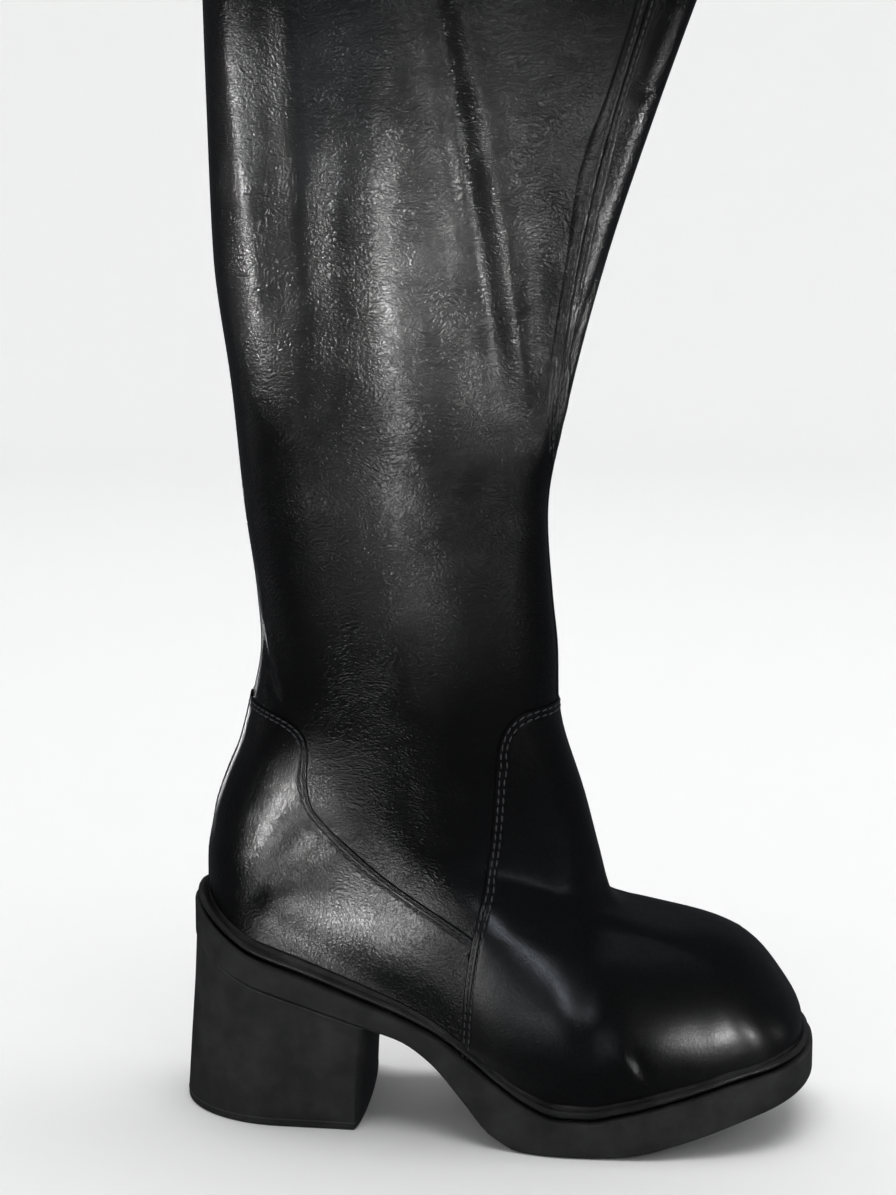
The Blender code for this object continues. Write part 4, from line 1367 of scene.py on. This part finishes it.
lay(paper, np.column_stack([radius * np.cos(about), radius * np.sin(about), height]), closed=True)
paper.data.materials.append(pale_paper)
paper.visible_glossy = False
print("paper:", len(paper.data.polygons), "faces")

# %% [markdown]
# A black boot is drawn by what it mirrors. Each lamp is a soft panel with a grid, so that it
# lights one part of the boot only: it is placed by the part that it should gleam in, the
# direction that this part mirrors, and how wide a patch its grid lets through. Azimuth 0 is
# before the outer side, 90 before the toe and 180 behind.

# %% Every lamp on the boot
WHITE, COOL = (1, 1, 1), (0.82, 0.89, 1.0)
LAMP_COLUMNS = (
    "name", "colour", "side", "x", "z", "azimuth", "climb", "distance", "wide", "tall", "radiance",
    "spread",
)
LAMPS = (
    # the shaft's outer side
    ("key", WHITE, OUTER, 84, 370, 8, -2, 1.0, 0.20, 0.12, 62.0, 14),
    ("key_near", WHITE, OUTER, 84, 368, 8, -2, 0.38, 0.09, 0.10, 84.0, 10),
    ("key_low", WHITE, OUTER, 90, 290, 17, -9, 0.75, 0.12, 0.09, 96.0, 12),
    ("key_spot", WHITE, OUTER, 88, 370, 4, -2, 0.5, 0.08, 0.08, 330.0, 7),
    ("ankle_panel", WHITE, OUTER, 78, 272, -14, -13, 0.6, 0.12, 0.07, 26.0, 10),
    ("low_back_panel", WHITE, OUTER, 56, 292, -40, -13, 0.7, 0.14, 0.10, 13.0, 10),
    ("low_front_panel", WHITE, OUTER, 130, 262, 50, -2, 0.7, 0.14, 0.10, 10.0, 12),
    ("ridge_panel", WHITE, OUTER, 117, 405, 46, 0, 0.5, 0.05, 0.08, 150.0, 7),
    ("ridge_low_panel", WHITE, OUTER, 127, 343, 64, -5, 0.5, 0.05, 0.08, 230.0, 7),
    ("ridge_top_panel", WHITE, OUTER, 108, 452, 34, 6, 0.5, 0.05, 0.07, 50.0, 8),
    ("key_edge", WHITE, OUTER, 99, 354, 34, -2, 0.4, 0.04, 0.07, 120.0, 7),
    ("wedge_panel", WHITE, OUTER, 172, 406, 21, -7, 0.5, 0.04, 0.08, 100.0, 7),
    ("back_panel", WHITE, OUTER, 30, 392, -63, -1, 0.3, 0.035, 0.13, 360.0, 11),
    ("cool_panel", COOL, OUTER, 62, 440, -16, 3, 0.6, 0.16, 0.08, 14.0, 12),
    ("front_panel", WHITE, OUTER, 172, 384, 73, -19, 0.6, 0.08, 0.12, 300.0, 10),
    # the counter, the vamp and the toe
    ("counter_panel", WHITE, OUTER, 40, 136, -31, -12, 0.24, 0.036, 0.035, 300.0, 10),
    ("counter_wide_panel", WHITE, OUTER, 42, 128, -8, -24, 0.2, 0.04, 0.025, 90.0, 8),
    ("counter_low_panel", WHITE, OUTER, 70, 92, -26, -32, 0.14, 0.045, 0.02, 84.0, 20),
    ("vamp_panel", COOL, OUTER, 147, 86, 10, 3, 0.12, 0.05, 0.06, 17.0, 12),
    ("vamp_high_panel", COOL, OUTER, 155, 112, 47, 10, 0.3, 0.06, 0.06, 6.0, 8),
    ("vamp_low_panel", COOL, OUTER, 150, 62, -10, -17, 0.18, 0.06, 0.02, 3.0, 26),
    ("toe_panel", WHITE, OUTER, 229, 51, 32, -8, 0.3, 0.08, 0.05, 90.0, 11),
    ("toe_corner_panel", WHITE, OUTER, 241, 50, 58, -5, 0.3, 0.08, 0.05, 52.0, 10),
    ("bead_panel", WHITE, OUTER, 130, 50, 0, 70, 1.0, 0.34, 0.04, 5.0, 20),
    ("top_panel", COOL, OUTER, 200, 110, 25, 58, 1.4, 0.8, 0.6, 0.15, 60),
    # the inner side, the back and the toe's front
    ("inner_panel", WHITE, INNER, 85, 365, 192, -10, 0.7, 0.20, 0.24, 30.0, 16),
    ("inner_low_panel", WHITE, INNER, 70, 130, 206, -10, 0.6, 0.16, 0.08, 14.0, 14),
    ("inner_toe_panel", WHITE, INNER, 195, 52, 196, -8, 0.3, 0.12, 0.04, 8.0, 10),
    ("behind_panel", WHITE, 0, 14, 330, 262, -8, 0.5, 0.06, 0.30, 5.0, 10),
    ("toe_front_panel", WHITE, 0, 262, 60, 96, -6, 0.3, 0.10, 0.04, 2.5, 12),
)
LEG_HALF = 38.0


def panel(name, size, energy, place, way, hidden):
    """A rectangular light at a place, which shines in a direction and is hidden from some rays."""
    light = bpy.data.lights.new(name, "AREA")
    light.shape = "RECTANGLE"
    light.size, light.size_y = size
    light.energy = energy
    holder = bpy.data.objects.new(name, light)
    holder.location = place
    holder.rotation_euler = way.to_track_quat("-Z", "Y").to_euler()
    for rays in hidden:
        setattr(holder, "visible_" + rays, False)
    bpy.context.collection.objects.link(holder)
    return light


def lamp(name, colour, side, x, z, azimuth, climb, distance, wide, tall, radiance, spread):
    """A panel with a grid, aimed at a place on one side of the boot."""
    half = np.radians(spread) / 2
    narrowed = (np.tan(half) - half) / np.tan(half)
    turn, rise = np.radians(azimuth), np.radians(climb)
    way = Vector((np.sin(turn) * np.cos(rise), -np.cos(turn) * np.cos(rise), np.sin(rise)))
    place = Vector(metres((x, side * LEG_HALF, z))) + way * distance
    energy = radiance * wide * tall * np.pi * narrowed
    light = panel(name, (wide, tall), energy, place, -way, ("camera", "diffuse"))
    light.color = colour
    light.spread = 2 * half


for row in LAMPS:
    lamp(**dict(zip(LAMP_COLUMNS, row)))
print("lamps:", len(LAMPS))

# %% [markdown]
# Two wide lamps light the paper, one on its wall and one from above, and a small bright card on
# the floor is there for the heel to mirror low down.

# %% The paper's lamps, the card and the room
CARD_SIZE, CARD_RADIANCE = 0.14, 2.6
wash_place, wash_goal = Vector((0, 0.5, 3.4)), Vector((0, 2.2, 0.8))
panel("paper_wash", (5.0, 1.2), 50, wash_place, wash_goal - wash_place, ("glossy",))
panel("sky", (2.2, 2.2), 50, (0.2, -0.2, 3.0), Vector((0, 0, -1)), ("glossy",))
panel("floor_card", (CARD_SIZE, CARD_SIZE), CARD_RADIANCE * CARD_SIZE**2 * np.pi,
      (-0.125, -0.22, 0.003), Vector((0, 0, 1)), ("camera", "diffuse"))

world = bpy.data.worlds.new("room")
world.use_nodes = True
world.node_tree.nodes["Background"].inputs["Color"].default_value = (0.05, 0.052, 0.058, 1)
bpy.context.scene.world = world
bpy.context.scene.view_settings.view_transform = "Standard"

# %% [markdown]
# The camera stands about a metre away, a little towards the toe and nearly as high as the
# collar, and leans by half a degree. Its long lens keeps the tall boot upright.

# %% The camera
camera_data = bpy.data.cameras.new("camera")
camera_data.lens = 71.25
camera_data.sensor_width = 36
camera = bpy.data.objects.new("camera", camera_data)
camera.location = (0.0787, -0.9710, 0.4354)
direction = Vector((-0.0235, 0.0018, 0.2275)) - camera.location
turned = direction.to_track_quat("-Z", "Y").to_matrix() @ Matrix.Rotation(np.radians(0.5), 3, "Z")
camera.rotation_euler = turned.to_euler()
bpy.context.collection.objects.link(camera)
bpy.context.scene.camera = camera
print("camera:", [round(c, 4) for c in camera.location])
